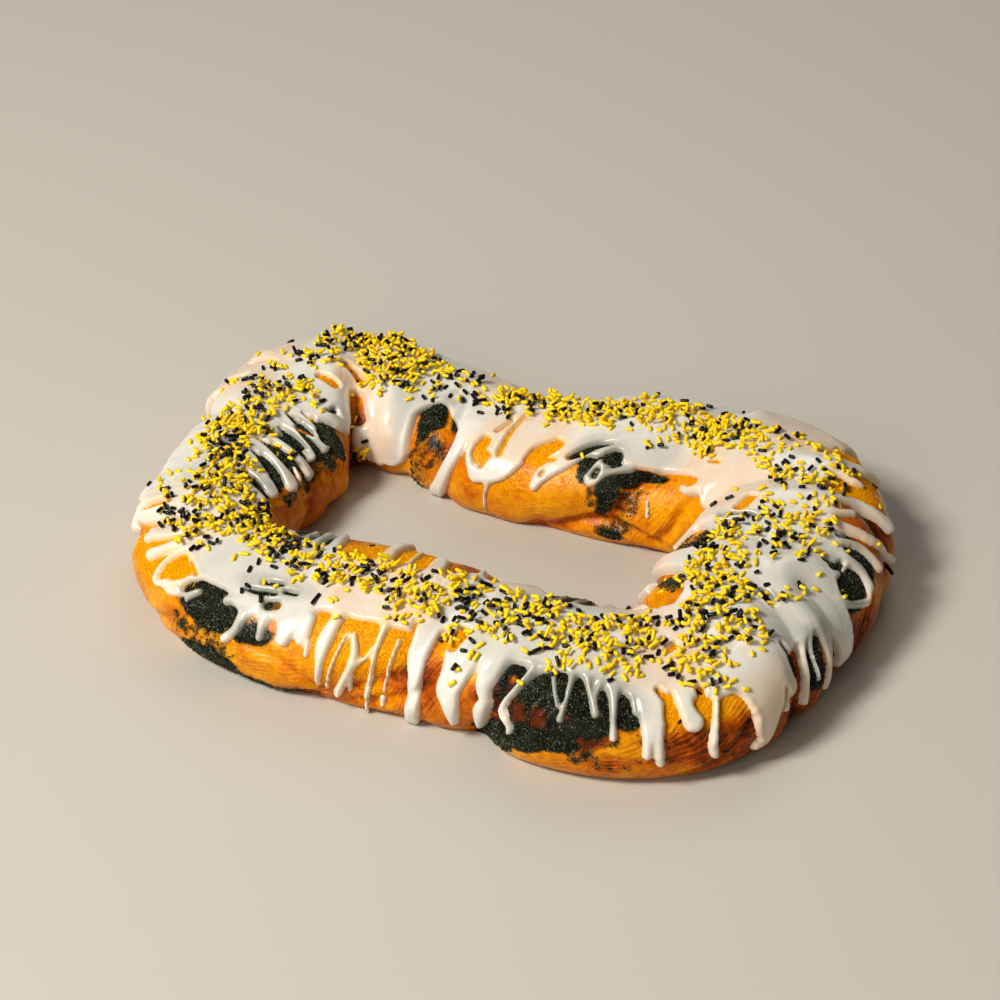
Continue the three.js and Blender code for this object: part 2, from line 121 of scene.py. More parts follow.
# Patches of stretch wrinkles: station, across, half sizes in millimetres along and down, heading in
# degrees from the ring's run, spacing, depth
WRINKLES = [
    (2.35, -0.72, 26, 22, 62, 2.4, 0.8),
    (1.3, -0.88, 24, 7, 25, 2.3, 0.5),
    (5.7, -0.72, 34, 19, 27, 2.6, 0.85),
    (0.4, -0.78, 26, 11, 12, 2.6, 0.5),
    (3.4, -0.62, 12, 12, 40, 2.4, 0.5),
    (4.6, -0.82, 24, 9, 14, 2.6, 0.5),
    (7.2, -0.75, 14, 16, 60, 2.4, 0.6),
    (8.9, -0.72, 26, 14, 30, 2.6, 0.7),
    (10.6, -0.5, 20, 16, 50, 2.6, 0.5),
    (27.6, -0.72, 30, 12, 14, 2.6, 0.35),
    (17.55, 0.72, 9, 20, 86, 2.4, 0.6),
    (14.6, 0.62, 22, 18, 58, 2.8, 0.5),
    (16.1, 0.75, 30, 14, 8, 3.0, 0.25),
    (19.35, 0.65, 8, 20, 86, 2.2, 0.6),
    (21.5, 0.65, 34, 14, 15, 2.8, 0.35),
    (22.9, 0.72, 36, 16, 35, 2.6, 0.35),
    (9.1, 0.4, 16, 10, 20, 2.4, 0.5),
    (26.3, -0.72, 24, 12, 20, 2.8, 0.4),
    (12.8, -0.75, 26, 14, 40, 2.8, 0.6),
    (14.6, -0.7, 26, 14, 30, 2.8, 0.5),
    (16.8, -0.75, 26, 14, 50, 2.8, 0.6),
    (19.0, -0.75, 26, 14, 35, 2.8, 0.6),
    (21.0, -0.75, 26, 14, 35, 2.8, 0.6),
    (22.8, -0.75, 26, 12, 25, 2.8, 0.5),
    (24.6, -0.75, 26, 14, 40, 2.8, 0.6),
]

# ---- Icing ----

# Edges of the poured sheet, one "across" value for each half station
OUTER_EDGE = [
    -0.42, -0.43, -0.31, -0.33, -0.33, -0.25, -0.34, -0.29, -0.26, -0.28, -0.36, -0.37, -0.42, -0.58,
    -0.44, -0.45, -0.55, -0.46, -0.37, -0.38, -0.28, -0.19, -0.15, -0.16, -0.24, -0.42, -0.46, -0.42,
    -0.45, -0.5, -0.48, -0.42, -0.4, -0.38, -0.45, -0.46, -0.42, -0.38, -0.38, -0.4, -0.43, -0.46,
    -0.5, -0.48, -0.48, -0.52, -0.5, -0.5, -0.48, -0.48, -0.54, -0.44, -0.26, -0.25, -0.33, -0.31,
]
HOLE_EDGE = [
    0.22, 0.12, 0.06, 0.08, 0.06, 0.24, 0.4, 0.17, 0.3, 0.4, 0.42, 0.22, 0.18, 0.2,
    0.24, 0.32, 0.34, 0.24, 0.22, 0.36, 0.4, 0.42, 0.44, 0.48, 0.5, 0.52, 0.46, 0.37,
    0.35, 0.36, 0.34, 0.3, 0.36, 0.4, 0.3, 0.17, 0.4, 0.55, 0.5, 0.34, 0.36, 0.34,
    0.28, 0.2, 0.16, 0.12, 0.15, 0.13, 0.17, 0.24, 0.3, 0.35, 0.37, 0.33, 0.27, 0.24,
]
# Runs of icing: points of station, across and width from the root to the tip
RUNS = [
    [(0.27, -0.38, 8), (0.28, -0.54, 4.6)],
    [(0.6, -0.4, 17), (0.57, -0.51, 10)],
    [(0.8, -0.38, 12), (0.8, -0.5, 7)],
    [(0.9, -0.42, 4), (0.9, -0.59, 3.4)],
    [(1.17, -0.32, 8), (1.09, -0.5, 9), (1.08, -0.64, 5), (1.06, -0.8, 2.2)],
    [(1.33, -0.42, 2.2), (1.27, -0.55, 2.2), (1.2, -0.7, 1.8), (1.16, -0.83, 1.6)],
    [(1.42, -0.42, 4), (1.48, -0.52, 5.5), (1.46, -0.62, 5), (1.37, -0.74, 4.8), (1.29, -0.86, 5.4)],
    [(1.47, -0.6, 2.8), (1.6, -0.56, 2), (1.68, -0.48, 2)],
    [(1.46, -0.7, 2.2), (1.44, -0.82, 2)],
    [(1.75, -0.33, 5.5), (1.72, -0.5, 3), (1.7, -0.65, 3), (1.66, -0.8, 3.6), (1.62, -0.96, 2)],
    [(1.84, -0.87, 3), (1.85, -0.83, 4)],
    [(1.96, -0.4, 2.2), (1.9, -0.6, 2), (1.87, -0.75, 1.8)],
    [(2.25, -0.26, 15), (2.21, -0.48, 12), (2.24, -0.65, 9), (2.24, -0.8, 9.4), (2.2, -0.95, 9.4)],
    [(2.55, -0.24, 5), (2.6, -0.38, 4.4)],
    [(2.8, -0.3, 24), (2.72, -0.48, 18), (2.68, -0.6, 15), (2.72, -0.7, 11), (2.76, -0.84, 5.6)],
    [(3.15, -0.33, 16), (3.1, -0.5, 10), (3.13, -0.6, 7), (3.08, -0.7, 8.6), (3.05, -0.86, 5.6)],
    [(3.6, -0.27, 5.5), (3.47, -0.42, 4.6), (3.37, -0.53, 4.6), (3.34, -0.62, 6), (3.44, -0.65, 6),
     (3.52, -0.71, 5)],
    [(3.86, -0.26, 3.4), (3.97, -0.37, 2.6), (4.05, -0.45, 2.4)],
    [(4.12, -0.28, 3.8), (4.13, -0.42, 2.8), (4.11, -0.525, 4)],
    [(4.3, -0.27, 3.4), (4.4, -0.38, 3), (4.46, -0.455, 4)],
    [(4.48, -0.26, 4), (4.43, -0.35, 3), (4.47, -0.44, 3)],
    [(4.62, -0.27, 9), (4.65, -0.42, 4.4), (4.67, -0.585, 4.4)],
    [(4.84, -0.32, 3), (4.88, -0.42, 2.2)],
    [(5.05, -0.34, 15), (5.07, -0.48, 13.5), (5.03, -0.6, 7), (5.02, -0.7, 5.6)],
    [(5.11, -0.5, 9), (5.14, -0.62, 6.4), (5.16, -0.76, 5.6)],
    [(5.45, -0.34, 11), (5.46, -0.43, 9.6), (5.52, -0.51, 11.6)],
    [(5.9, -0.3, 4), (5.8, -0.45, 4), (5.73, -0.6, 5), (5.71, -0.7, 6.2), (5.73, -0.76, 5.4)],
    [(6.5, -0.42, 42), (6.43, -0.6, 23), (6.4, -0.7, 17), (6.36, -0.8, 10), (6.27, -0.83, 7)],
    [(6.7, -0.48, 24), (6.85, -0.58, 13)],
    [(6.68, -0.58, 8), (6.7, -0.68, 5)],
    [(7.46, -0.4, 5), (7.28, -0.5, 4.6), (7.2, -0.65, 4), (7.17, -0.82, 4.4)],
    [(7.6, -0.4, 4), (7.42, -0.5, 2.2), (7.36, -0.6, 1.8), (7.37, -0.7, 2.2)],
    [(7.8, -0.48, 17), (7.72, -0.66, 13), (7.66, -0.84, 8)],
    [(8.2, -0.48, 24), (8.22, -0.65, 15), (8.25, -0.76, 12), (8.12, -0.84, 6)],
    [(8.5, -0.44, 8), (8.75, -0.52, 5), (9.1, -0.58, 4.6), (9.42, -0.62, 5), (9.6, -0.56, 6),
     (9.7, -0.46, 6.4), (9.63, -0.35, 8)],
    [(9.98, -0.24, 9), (10.1, -0.37, 6), (10.12, -0.45, 5.6), (10.14, -0.55, 5.6)],
    [(10.22, -0.18, 10), (10.3, -0.32, 7), (10.35, -0.41, 6.6), (10.46, -0.51, 6.4), (10.7, -0.7, 6)],
    [(10.4, -0.14, 6), (10.5, -0.21, 5.4), (10.62, -0.275, 6)],
    [(10.85, -0.1, 10), (10.96, -0.25, 8.6), (10.95, -0.38, 7.4), (10.93, -0.55, 8)],
    [(11.52, -0.16, 5), (11.37, -0.26, 5.4), (11.29, -0.31, 6)],
    [(11.72, -0.12, 13), (11.67, -0.3, 11), (11.68, -0.4, 9), (11.75, -0.5, 8)],
    [(12.3, -0.35, 14), (12.37, -0.6, 10)],
    [(12.86, -0.35, 6), (12.9, -0.52, 3.6)],
    [(13.53, -0.35, 10), (13.5, -0.64, 7.3)],
    [(14.08, -0.36, 5), (14.04, -0.58, 3.4)],
    [(14.5, -0.38, 18), (14.54, -0.52, 9)],
    [(15.29, -0.4, 12), (15.32, -0.8, 8.3)],
    [(16.1, -0.34, 6), (16.2, -0.53, 3.6)],
    [(16.93, -0.35, 13), (16.91, -0.7, 9.9)],
    [(17.5, -0.36, 20), (17.56, -0.5, 11)],
    [(18.15, -0.35, 13), (18.21, -0.68, 10.4)],
    [(18.82, -0.34, 6), (18.78, -0.56, 3.6)],
    [(19.53, -0.35, 14), (19.59, -0.73, 10.1)],
    [(20.5, -0.4, 18), (20.56, -0.54, 9)],
    [(21.32, -0.44, 7), (21.36, -0.7, 4.6)],
    [(22.2, -0.4, 12), (22.23, -0.84, 9.5)],
    [(22.72, -0.44, 18), (22.76, -0.6, 9)],
    [(23.26, -0.4, 13), (23.19, -0.63, 9.8)],
    [(23.84, -0.42, 6), (23.8, -0.62, 3.6)],
    [(24.44, -0.35, 13), (24.48, -0.57, 9.6)],
    [(25.16, -0.3, 12), (25.06, -0.46, 11), (25.02, -0.64, 8)],
    [(26.02, -0.2, 13), (25.94, -0.3, 10.5), (25.72, -0.415, 9)],
    [(26.34, -0.22, 9), (26.2, -0.35, 7.4), (26.05, -0.46, 7.6)],
    [(26.48, -0.23, 6), (26.38, -0.376, 4), (26.36, -0.51, 4.2), (26.43, -0.56, 5), (26.67, -0.493, 4.6),
     (26.88, -0.407, 4.6), (27.02, -0.32, 6)],
    [(26.62, -0.5, 5), (26.77, -0.525, 5.4), (26.88, -0.47, 6)],
    [(26.9, -0.5, 2.6), (27.08, -0.46, 3.2), (27.19, -0.405, 3)],
    [(27.22, -0.4, 2.2), (27.12, -0.46, 2.2), (27.1, -0.5, 2)],
    [(28.1, -0.34, 10), (27.86, -0.345, 5), (27.68, -0.372, 6)],
    [(28.0, -0.42, 8), (27.93, -0.54, 6), (27.8, -0.63, 6)],
    [(27.5, 0.2, 6), (27.75, 0.27, 3), (27.98, 0.24, 3), (28.1, 0.16, 4)],
    [(28.05, 0.1, 8), (28.2, 0.24, 4), (28.24, 0.31, 4.6)],
    [(0.3, 0.04, 7), (0.4, 0.2, 6), (0.42, 0.29, 7.4)],
    [(0.62, 0.06, 9), (0.62, 0.17, 8), (0.6, 0.3, 7)],
    [(1.32, 0.0, 12), (1.3, 0.2, 9), (1.34, 0.4, 9)],
    [(1.6, 0.04, 4), (1.62, 0.26, 3)],
    [(1.97, 0.0, 12), (1.93, 0.2, 10)],
    [(2.44, 0.05, 6), (2.42, 0.3, 5)],
    [(2.9, 0.2, 22), (2.95, 0.45, 15)],
    [(3.42, 0.12, 3), (3.46, 0.34, 2.4)],
    [(3.62, 0.1, 4), (3.68, 0.34, 3)],
    [(4.2, 0.2, 16), (4.2, 0.44, 12)],
    [(6.62, 0.42, 9), (6.67, 0.6, 10)],
    [(8.3, 0.15, 24), (8.45, 0.38, 15), (8.74, 0.62, 9)],
    [(9.9, 0.3, 14), (9.62, 0.42, 6), (9.1, 0.48, 3.4)],
    [(13.0, 0.43, 8), (13.5, 0.46, 5.6), (13.92, 0.445, 4.6)],
    [(11.56, 0.3, 10), (11.54, 0.58, 7.2)],
    [(14.45, 0.57, 2), (14.42, 0.67, 2.8)],
    [(14.98, 0.2, 12), (15.08, 0.38, 9), (15.17, 0.47, 9.4)],
    [(15.3, 0.2, 12), (15.56, 0.35, 11), (15.8, 0.46, 9.6), (15.89, 0.56, 6.6)],
    [(14.72, 0.37, 5), (14.95, 0.415, 4), (15.12, 0.46, 5)],
    [(16.2, 0.2, 26), (16.3, 0.4, 17), (16.46, 0.5, 16), (16.68, 0.57, 10.5)],
    [(16.86, 0.2, 8), (16.84, 0.46, 6), (16.72, 0.57, 6)],
    [(16.52, 0.62, 2.6), (16.55, 0.76, 1.8), (16.54, 0.88, 1.6)],
    [(17.02, 0.2, 15), (17.05, 0.4, 11.5), (17.15, 0.6, 9.5), (17.25, 0.8, 9.5), (17.33, 0.96, 11)],
    [(18.17, 0.25, 26), (18.15, 0.68, 24)],
    [(18.8, 0.25, 26), (18.83, 0.72, 24)],
    [(18.0, 0.6, 8), (18.02, 0.79, 5)],
    [(18.45, 0.6, 10), (18.5, 0.83, 6)],
    [(18.96, 0.6, 8), (19.02, 0.86, 5)],
    [(19.82, 0.2, 20), (19.86, 0.46, 12)],
    [(20.9, 0.16, 12), (20.6, 0.34, 11), (20.3, 0.45, 10), (19.95, 0.52, 8)],
    [(21.15, 0.14, 8), (21.5, 0.28, 7), (21.8, 0.41, 9.4)],
    [(21.8, 0.12, 6), (21.98, 0.24, 6), (22.02, 0.36, 5)],
    [(21.98, 0.12, 7), (22.2, 0.3, 6.4), (22.36, 0.41, 5.6)],
    [(22.5, 0.08, 8), (22.66, 0.28, 8), (22.8, 0.48, 9)],
    [(23.08, 0.36, 2.4), (23.24, 0.46, 3.6)],
    [(22.95, 0.05, 6), (23.2, 0.2, 6), (23.34, 0.3, 6.4), (23.52, 0.44, 9.6)],
    [(23.35, 0.08, 4), (23.62, 0.2, 3), (23.78, 0.28, 2.6)],
    [(23.75, 0.08, 9), (23.98, 0.28, 11), (24.25, 0.38, 10)],
    [(24.65, 0.24, 6), (25.1, 0.34, 8), (25.6, 0.34, 9)],
]
# Gaps in the sheet that show the sugar and the dough: points of station, across and width
GAPS = [
    [(0.28, -0.33, 5.6), (0.38, -0.32, 5)],
    [(0.42, -0.5, 6), (0.41, -0.44, 4)],
    [(0.96, -0.34, 3), (0.95, -0.48, 4)],
    [(2.08, -0.27, 1.6), (2.06, -0.4, 3)],
    [(2.64, -0.23, 6), (2.58, -0.34, 5)],
    [(3.46, -0.3, 2), (3.33, -0.48, 2), (3.27, -0.56, 3)],
    [(5.3, -0.34, 3), (5.25, -0.46, 4)],
    [(5.66, -0.34, 4), (5.66, -0.46, 4)],
    [(6.73, -0.57, 1.4), (6.62, -0.72, 2)],
    [(9.15, -0.31, 3), (9.3, -0.335, 4.6), (9.42, -0.34, 3)],
    [(9.22, -0.26, 2), (9.27, -0.33, 3.4), (9.2, -0.38, 2.4)],
    [(27.9, -0.265, 1.4), (28.1, -0.262, 2.7), (28.3, -0.25, 2.4)],
    [(0.08, -0.2, 1.4), (0.2, -0.19, 2.6), (0.34, -0.187, 2)],
    [(0.42, -0.23, 2.4), (0.56, -0.235, 1.8)],
    [(27.62, 0.16, 2), (27.72, 0.2, 3.6)],
    [(27.9, 0.1, 1.6), (27.98, 0.18, 3.4)],
    [(0.12, 0.12, 3), (0.16, 0.2, 3)],
    [(5.4, -0.09, 2.6), (5.54, -0.07, 3.4)],
    [(5.16, -0.3, 2.4), (5.27, -0.36, 4.4)],
    [(7.5, -0.2, 1.8), (7.57, -0.16, 3.6), (7.64, -0.13, 2.2)],
    [(7.0, -0.36, 1.6), (7.03, -0.46, 2.8), (7.02, -0.56, 2.8)],
    [(21.2, 0.19, 1.6), (21.15, 0.28, 4)],
    [(10.25, 0.2, 6.4), (10.65, 0.175, 6)],
    [(9.82, 0.27, 1.8), (9.93, 0.17, 2), (9.87, 0.09, 1.2)],
    [(9.55, 0.1, 1), (9.62, 0.2, 1.6), (9.6, 0.26, 1.4)],
    [(13.05, 0.25, 2.4), (13.3, 0.255, 2.6)],
    [(5.75, 0.42, 8), (6.0, 0.31, 6), (6.5, 0.26, 6)],
    [(7.4, 0.28, 6), (7.05, 0.4, 8), (6.3, 0.42, 9)],
    [(4.85, 0.27, 1.4), (5.3, 0.235, 2), (5.6, 0.2, 2.2)],
    [(8.82, 0.32, 8), (9.15, 0.3, 10), (9.35, 0.34, 8)],
    [(12.04, -0.16, 3), (12.02, -0.26, 8), (11.98, -0.4, 12)],
    [(11.56, -0.2, 1.4), (11.5, -0.28, 3), (11.5, -0.4, 6)],
    [(11.2, -0.14, 2.4), (11.22, -0.22, 5.6), (11.2, -0.32, 8)],
    [(10.02, -0.25, 1.4), (10.12, -0.3, 2.2), (10.2, -0.36, 3), (10.22, -0.44, 3)],
    [(9.98, -0.34, 1.4), (10.02, -0.42, 2.2)],
    [(24.76, -0.46, 2), (24.86, -0.6, 3)],
    [(24.94, -0.42, 1.6), (25.0, -0.48, 3), (25.1, -0.57, 3)],
    [(25.1, -0.4, 3), (25.17, -0.31, 3.8), (25.23, -0.21, 2)],
    [(25.3, -0.53, 5), (25.42, -0.44, 4), (25.54, -0.35, 3.4), (25.66, -0.2, 2)],
    [(25.88, -0.43, 4), (26.06, -0.33, 2.8), (26.26, -0.19, 1.8)],
    [(26.72, -0.27, 1.4), (26.88, -0.3, 2.2), (27.02, -0.32, 1.4)],
    [(20.44, -0.18, 1.4), (20.52, -0.28, 3.8), (20.62, -0.38, 4)],
    [(20.88, -0.28, 1.6), (21.06, -0.39, 4)],
    [(21.28, -0.36, 1.6), (21.44, -0.46, 3.4)],
    [(23.14, -0.16, 4), (23.3, -0.05, 5)],
    [(23.48, 0.0, 3.4), (23.64, 0.1, 4)],
    [(14.93, 0.31, 8.4), (15.0, 0.325, 8.4)],
    [(15.02, 0.225, 1.4), (15.22, 0.245, 3.4), (15.38, 0.29, 5), (15.52, 0.33, 3.6)],
    [(15.06, 0.31, 2), (15.2, 0.35, 2), (15.27, 0.42, 3)],
    [(15.11, 0.41, 3), (15.13, 0.45, 3.6)],
    [(15.71, 0.35, 2), (15.73, 0.36, 2)],
    [(15.81, 0.45, 2), (15.82, 0.47, 2.4)],
    [(15.76, 0.23, 8), (15.95, 0.32, 10), (16.04, 0.38, 6)],
    [(16.34, 0.03, 1.2), (16.42, 0.2, 2.2), (16.46, 0.38, 2.6)],
    [(16.46, 0.1, 1.2), (16.6, 0.22, 1.8)],
    [(16.69, 0.31, 6), (16.74, 0.42, 6.4)],
    [(16.6, 0.42, 2), (16.64, 0.5, 2.2)],
    [(17.58, 0.24, 7), (17.56, 0.4, 17)],
    [(19.33, 0.32, 8), (19.3, 0.5, 9)],
    [(19.46, 0.06, 5), (19.3, 0.11, 5), (19.16, 0.2, 5)],
    [(20.06, 0.12, 5), (19.85, 0.21, 7)],
    [(20.2, 0.36, 1.4), (20.42, 0.335, 2.2), (20.52, 0.31, 1.4)],
    [(21.0, 0.36, 8), (21.3, 0.37, 10), (21.48, 0.39, 7)],
    [(21.52, 0.11, 1.6), (21.66, 0.17, 3), (21.72, 0.24, 4), (21.74, 0.31, 2.4)],
    [(21.05, 0.25, 1.4), (21.2, 0.23, 2.4)],
    [(21.86, 0.2, 1.6), (22.02, 0.3, 4), (22.14, 0.42, 5)],
    [(22.1, 0.12, 1.6), (22.2, 0.22, 3), (22.3, 0.32, 2.2)],
    [(22.38, 0.08, 1.6), (22.46, 0.2, 3), (22.52, 0.34, 3)],
    [(22.82, 0.08, 3), (22.95, 0.22, 7), (23.02, 0.32, 6)],
    [(23.3, 0.1, 1.8), (23.45, 0.2, 2.4)],
    [(23.56, 0.28, 3), (23.72, 0.34, 6)],
    [(24.08, 0.14, 2.6), (24.25, 0.22, 6), (24.5, 0.31, 5)],
    [(24.72, 0.18, 1.6), (25.05, 0.27, 3)],
]
# Broad swellings of the icing where it slid over a strand: station, across, half sizes, how high
ICING_LUMPS = [
    (11.7, -0.42, 0.35, 0.16), (12.6, -0.4, 0.4, 0.16), (13.4, -0.42, 0.3, 0.16), (14.9, -0.4, 0.35, 0.18),
    (15.8, -0.36, 0.3, 0.16), (16.6, -0.38, 0.3, 0.16), (20.1, -0.35, 0.3, 0.18),
    (20.95, -0.38, 0.28, 0.18), (21.9, -0.42, 0.3, 0.18), (7.95, -0.35, 0.4, 0.16),
    (6.45, -0.35, 0.4, 0.16), (2.9, -0.4, 0.3, 0.12), (18.4, 0.55, 0.4, 0.2), (8.9, -0.2, 0.5, 0.12),
    (0.9, -0.25, 0.5, 0.08), (20.39, -0.41, 0.16, 0.12, 2.4), (21.4, -0.58, 0.2, 0.14, 3.0),
    (15.24, -0.3, 0.14, 0.12, 1.8), (14.84, -0.32, 0.12, 0.12, 1.8), (13.84, -0.4, 0.2, 0.12, 1.9),
    (13.44, -0.27, 0.14, 0.1, 1.6), (12.45, -0.39, 0.18, 0.12, 1.5), (7.53, -0.76, 0.12, 0.1, 1.6),
]
LUMP_HEIGHT = 1.1
SHEET_HEIGHT = 2.2
EDGE_ROLL = 2.1
EDGE_BEAD = 0.35
BEAD_WIDTH = 1.6
EDGE_SUNK = 1.1
EDGE_SUNK_OVER = 0.8
# How round the tip of a run is, how much it stands proud, how far round its line it can reach, and
# the width of the web where it joins the sheet
RUN_ROUNDNESS = 0.45
RUN_BULGE = 0.24
BULGING_HALF = 5
RUN_SEARCH = 12
RUN_WEB = 3.2
GAP_SEARCH = 8
GAP_WEB = 1.0
CREASE_FILL = 0.45
BURIED = 1.5
OUTLINE_MARGIN = 0.9
LOWEST_ICING = 0.35
LOWEST_BURIED = 0.1
SHARP_EDGE = radians(75)

# ---- Coloured sugar and browning on the dough: station, across, half sizes, how full ----

BLACK_SEED = 41
BLACK_SUGAR = [
    (27.45, -0.46, 0.52, 0.15, 1.2), (27.4, -0.7, 0.5, 0.12, 0.25), (27.52, -0.88, 0.4, 0.1, 1.1),
    (28.1, -0.53, 0.3, 0.08, 1.2), (0.33, -0.34, 0.15, 0.06, 0.5), (28.3, -0.96, 0.6, 0.05, 0.5),
    (3.12, -0.93, 0.18, 0.09, 1.2), (3.35, -0.83, 0.2, 0.1, 1.2), (3.65, -0.75, 0.25, 0.08, 1.2),
    (3.95, -0.68, 0.35, 0.07, 1.2), (3.75, -0.42, 0.35, 0.07, 1.2), (4.3, -0.46, 0.4, 0.15, 1.3),
    (4.75, -0.4, 0.28, 0.12, 1.3), (3.8, -0.33, 0.4, 0.1, 1.2), (4.3, -0.32, 0.5, 0.08, 1.3),
    (3.35, -0.4, 0.12, 0.14, 0.9), (3.5, -0.56, 0.5, 0.12, 0.14), (4.7, -0.7, 0.6, 0.14, 0.08),
    (7.59, -0.149, 0.12, 0.05, 1.2), (7.3, 0.3, 0.9, 0.12, 0.5), (8.9, 0.35, 0.6, 0.1, 0.3),
    (9.43, 0.3, 0.2, 0.08, 0.5), (7.02, -0.5, 0.1, 0.14, 0.9), (14.8, 0.6, 0.35, 0.22, 0.16),
    (22.2, 0.5, 0.9, 0.1, 0.3), (20.95, 0.5, 0.25, 0.1, 0.9), (7.38, -0.66, 0.14, 0.13, 0.8),
    (7.45, -0.48, 0.12, 0.12, 1.1), (7.74, -0.5, 0.14, 0.08, 1.0), (9.05, -0.47, 0.5, 0.12, 1.2),
    (9.85, -0.42, 0.22, 0.14, 1.2), (9.27, -0.31, 0.25, 0.08, 1.2), (10.05, -0.3, 0.12, 0.1, 1.1),
    (11.05, -0.2, 0.1, 0.06, 0.8), (13.0, -0.52, 0.35, 0.12, 1.1), (13.45, -0.68, 0.35, 0.09, 0.8),
    (12.8, -0.82, 0.35, 0.07, 0.3), (15.65, -0.5, 0.28, 0.1, 1.1), (16.15, -0.66, 0.45, 0.09, 0.8),
    (15.5, -0.8, 0.4, 0.07, 0.3), (18.5, -0.55, 0.28, 0.13, 1.1), (19.05, -0.68, 0.45, 0.08, 0.8),
    (19.3, -0.5, 0.15, 0.1, 1.0), (22.5, -0.62, 0.28, 0.1, 1.1), (22.95, -0.76, 0.4, 0.07, 0.7),
    (22.1, -0.82, 0.4, 0.06, 0.3), (0.1, 0.24, 0.5, 0.16, 1.1), (3.5, 0.28, 0.3, 0.14, 1.1),
    (21.2, 0.37, 0.5, 0.1, 1.3), (21.6, 0.2, 0.14, 0.14, 1.2), (22.1, 0.36, 0.3, 0.14, 1.2),
    (22.2, 0.18, 0.14, 0.12, 1.2), (22.48, 0.2, 0.12, 0.16, 1.2), (22.5, 0.5, 0.6, 0.08, 0.34),
    (22.95, 0.24, 0.18, 0.16, 1.2), (23.2, 0.34, 0.12, 0.06, 0.6), (23.6, 0.28, 0.28, 0.14, 1.2),
    (23.85, 0.38, 0.15, 0.06, 0.6), (24.4, 0.26, 0.5, 0.12, 1.3), (25.0, 0.24, 0.35, 0.08, 1.2),
    (23.4, 0.52, 0.7, 0.08, 0.2), (20.35, 0.35, 0.25, 0.05, 1.2), (23.35, -0.03, 0.45, 0.18, 1.2),
    (14.72, 0.4, 0.45, 0.035, 1.2), (14.85, 0.45, 0.25, 0.06, 1.2), (14.95, 0.53, 0.14, 0.08, 1.0),
    (14.96, 0.62, 0.1, 0.1, 0.7), (14.62, 0.5, 0.3, 0.1, 0.14), (14.98, 0.33, 0.16, 0.1, 1.3),
    (15.25, 0.27, 0.28, 0.1, 1.2), (15.25, 0.4, 0.12, 0.1, 1.2), (14.88, 0.87, 0.16, 0.06, 0.5),
    (17.55, 0.28, 0.2, 0.12, 1.2), (17.6, 0.42, 0.14, 0.1, 0.7), (17.5, 0.52, 0.24, 0.16, 0.3),
    (17.22, 0.2, 0.05, 0.12, 1.1), (17.6, 0.75, 0.16, 0.2, 0.12), (9.88, 0.18, 0.1, 0.14, 1.1),
    (19.4, 0.9, 0.14, 0.08, 0.6), (9.2, 0.25, 0.35, 0.05, 0.5), (0.2, -0.22, 0.55, 0.08, 1.3),
    (9.62, 0.19, 0.08, 0.1, 1.0), (7.35, 0.25, 0.3, 0.06, 0.7),
]
# Short lines where the black sugar was rubbed off and brown crust shows: points and width
RUBBED_OFF = [
    [(3.12, -0.68, 2), (3.35, -0.64, 6), (3.78, -0.54, 6), (4.1, -0.505, 5), (4.34, -0.52, 2)],
    [(3.4, -0.37, 3), (3.37, -0.44, 5), (3.34, -0.5, 3)],
    [(27.94, -0.54, 3), (28.04, -0.48, 4), (28.18, -0.44, 2)],
    [(26.8, -0.41, 4), (26.9, -0.42, 5)],
    [(8.62, -0.47, 2), (8.7, -0.54, 3)],
]
YELLOW_SEED = 43
YELLOW_SUGAR = [
    (1.5, -0.47, 0.6, 0.2, 1.1), (1.5, -0.78, 0.5, 0.12, 0.22), (0.95, -0.42, 0.1, 0.1, 0.9),
    (5.3, -0.4, 0.32, 0.14, 1.0), (5.47, -0.08, 0.12, 0.06, 1.1), (5.72, -0.4, 0.2, 0.16, 1.0),
    (26.6, -0.38, 0.45, 0.18, 1.1), (26.0, -0.42, 0.5, 0.24, 1.0), (25.5, -0.44, 0.3, 0.26, 0.8),
    (25.1, -0.28, 0.2, 0.14, 0.9), (11.2, -0.26, 0.25, 0.18, 1.1), (11.98, -0.28, 0.25, 0.2, 1.1),
    (11.5, -0.32, 0.2, 0.16, 1.0), (2.64, -0.27, 0.15, 0.1, 0.7), (1.45, 0.16, 0.6, 0.16, 1.0),
    (5.3, 0.24, 0.6, 0.05, 1.0), (15.86, 0.28, 0.35, 0.14, 1.1), (16.4, 0.24, 0.14, 0.28, 1.1),
    (16.7, 0.38, 0.18, 0.18, 1.0), (16.3, 0.53, 0.3, 0.12, 0.6), (5.85, 0.31, 0.4, 0.12, 0.5),
    (6.5, 0.26, 0.4, 0.1, 0.25), (10.42, 0.18, 0.45, 0.08, 0.8), (13.15, 0.25, 0.45, 0.06, 1.0),
    (19.3, 0.13, 0.3, 0.12, 1.0), (19.95, 0.17, 0.25, 0.1, 1.0), (4.1, 0.36, 0.2, 0.14, 0.9),
    (14.4, -0.6, 0.5, 0.14, 0.8), (17.2, -0.62, 0.5, 0.13, 0.8), (20.6, -0.64, 0.5, 0.14, 0.8),
    (24.3, -0.62, 0.5, 0.13, 0.8), (19.35, 0.4, 0.12, 0.12, 0.2), (12.1, -0.5, 0.4, 0.12, 0.7),
]
RUB_SEARCH = 8
RUBBED_SHARE = 0.76
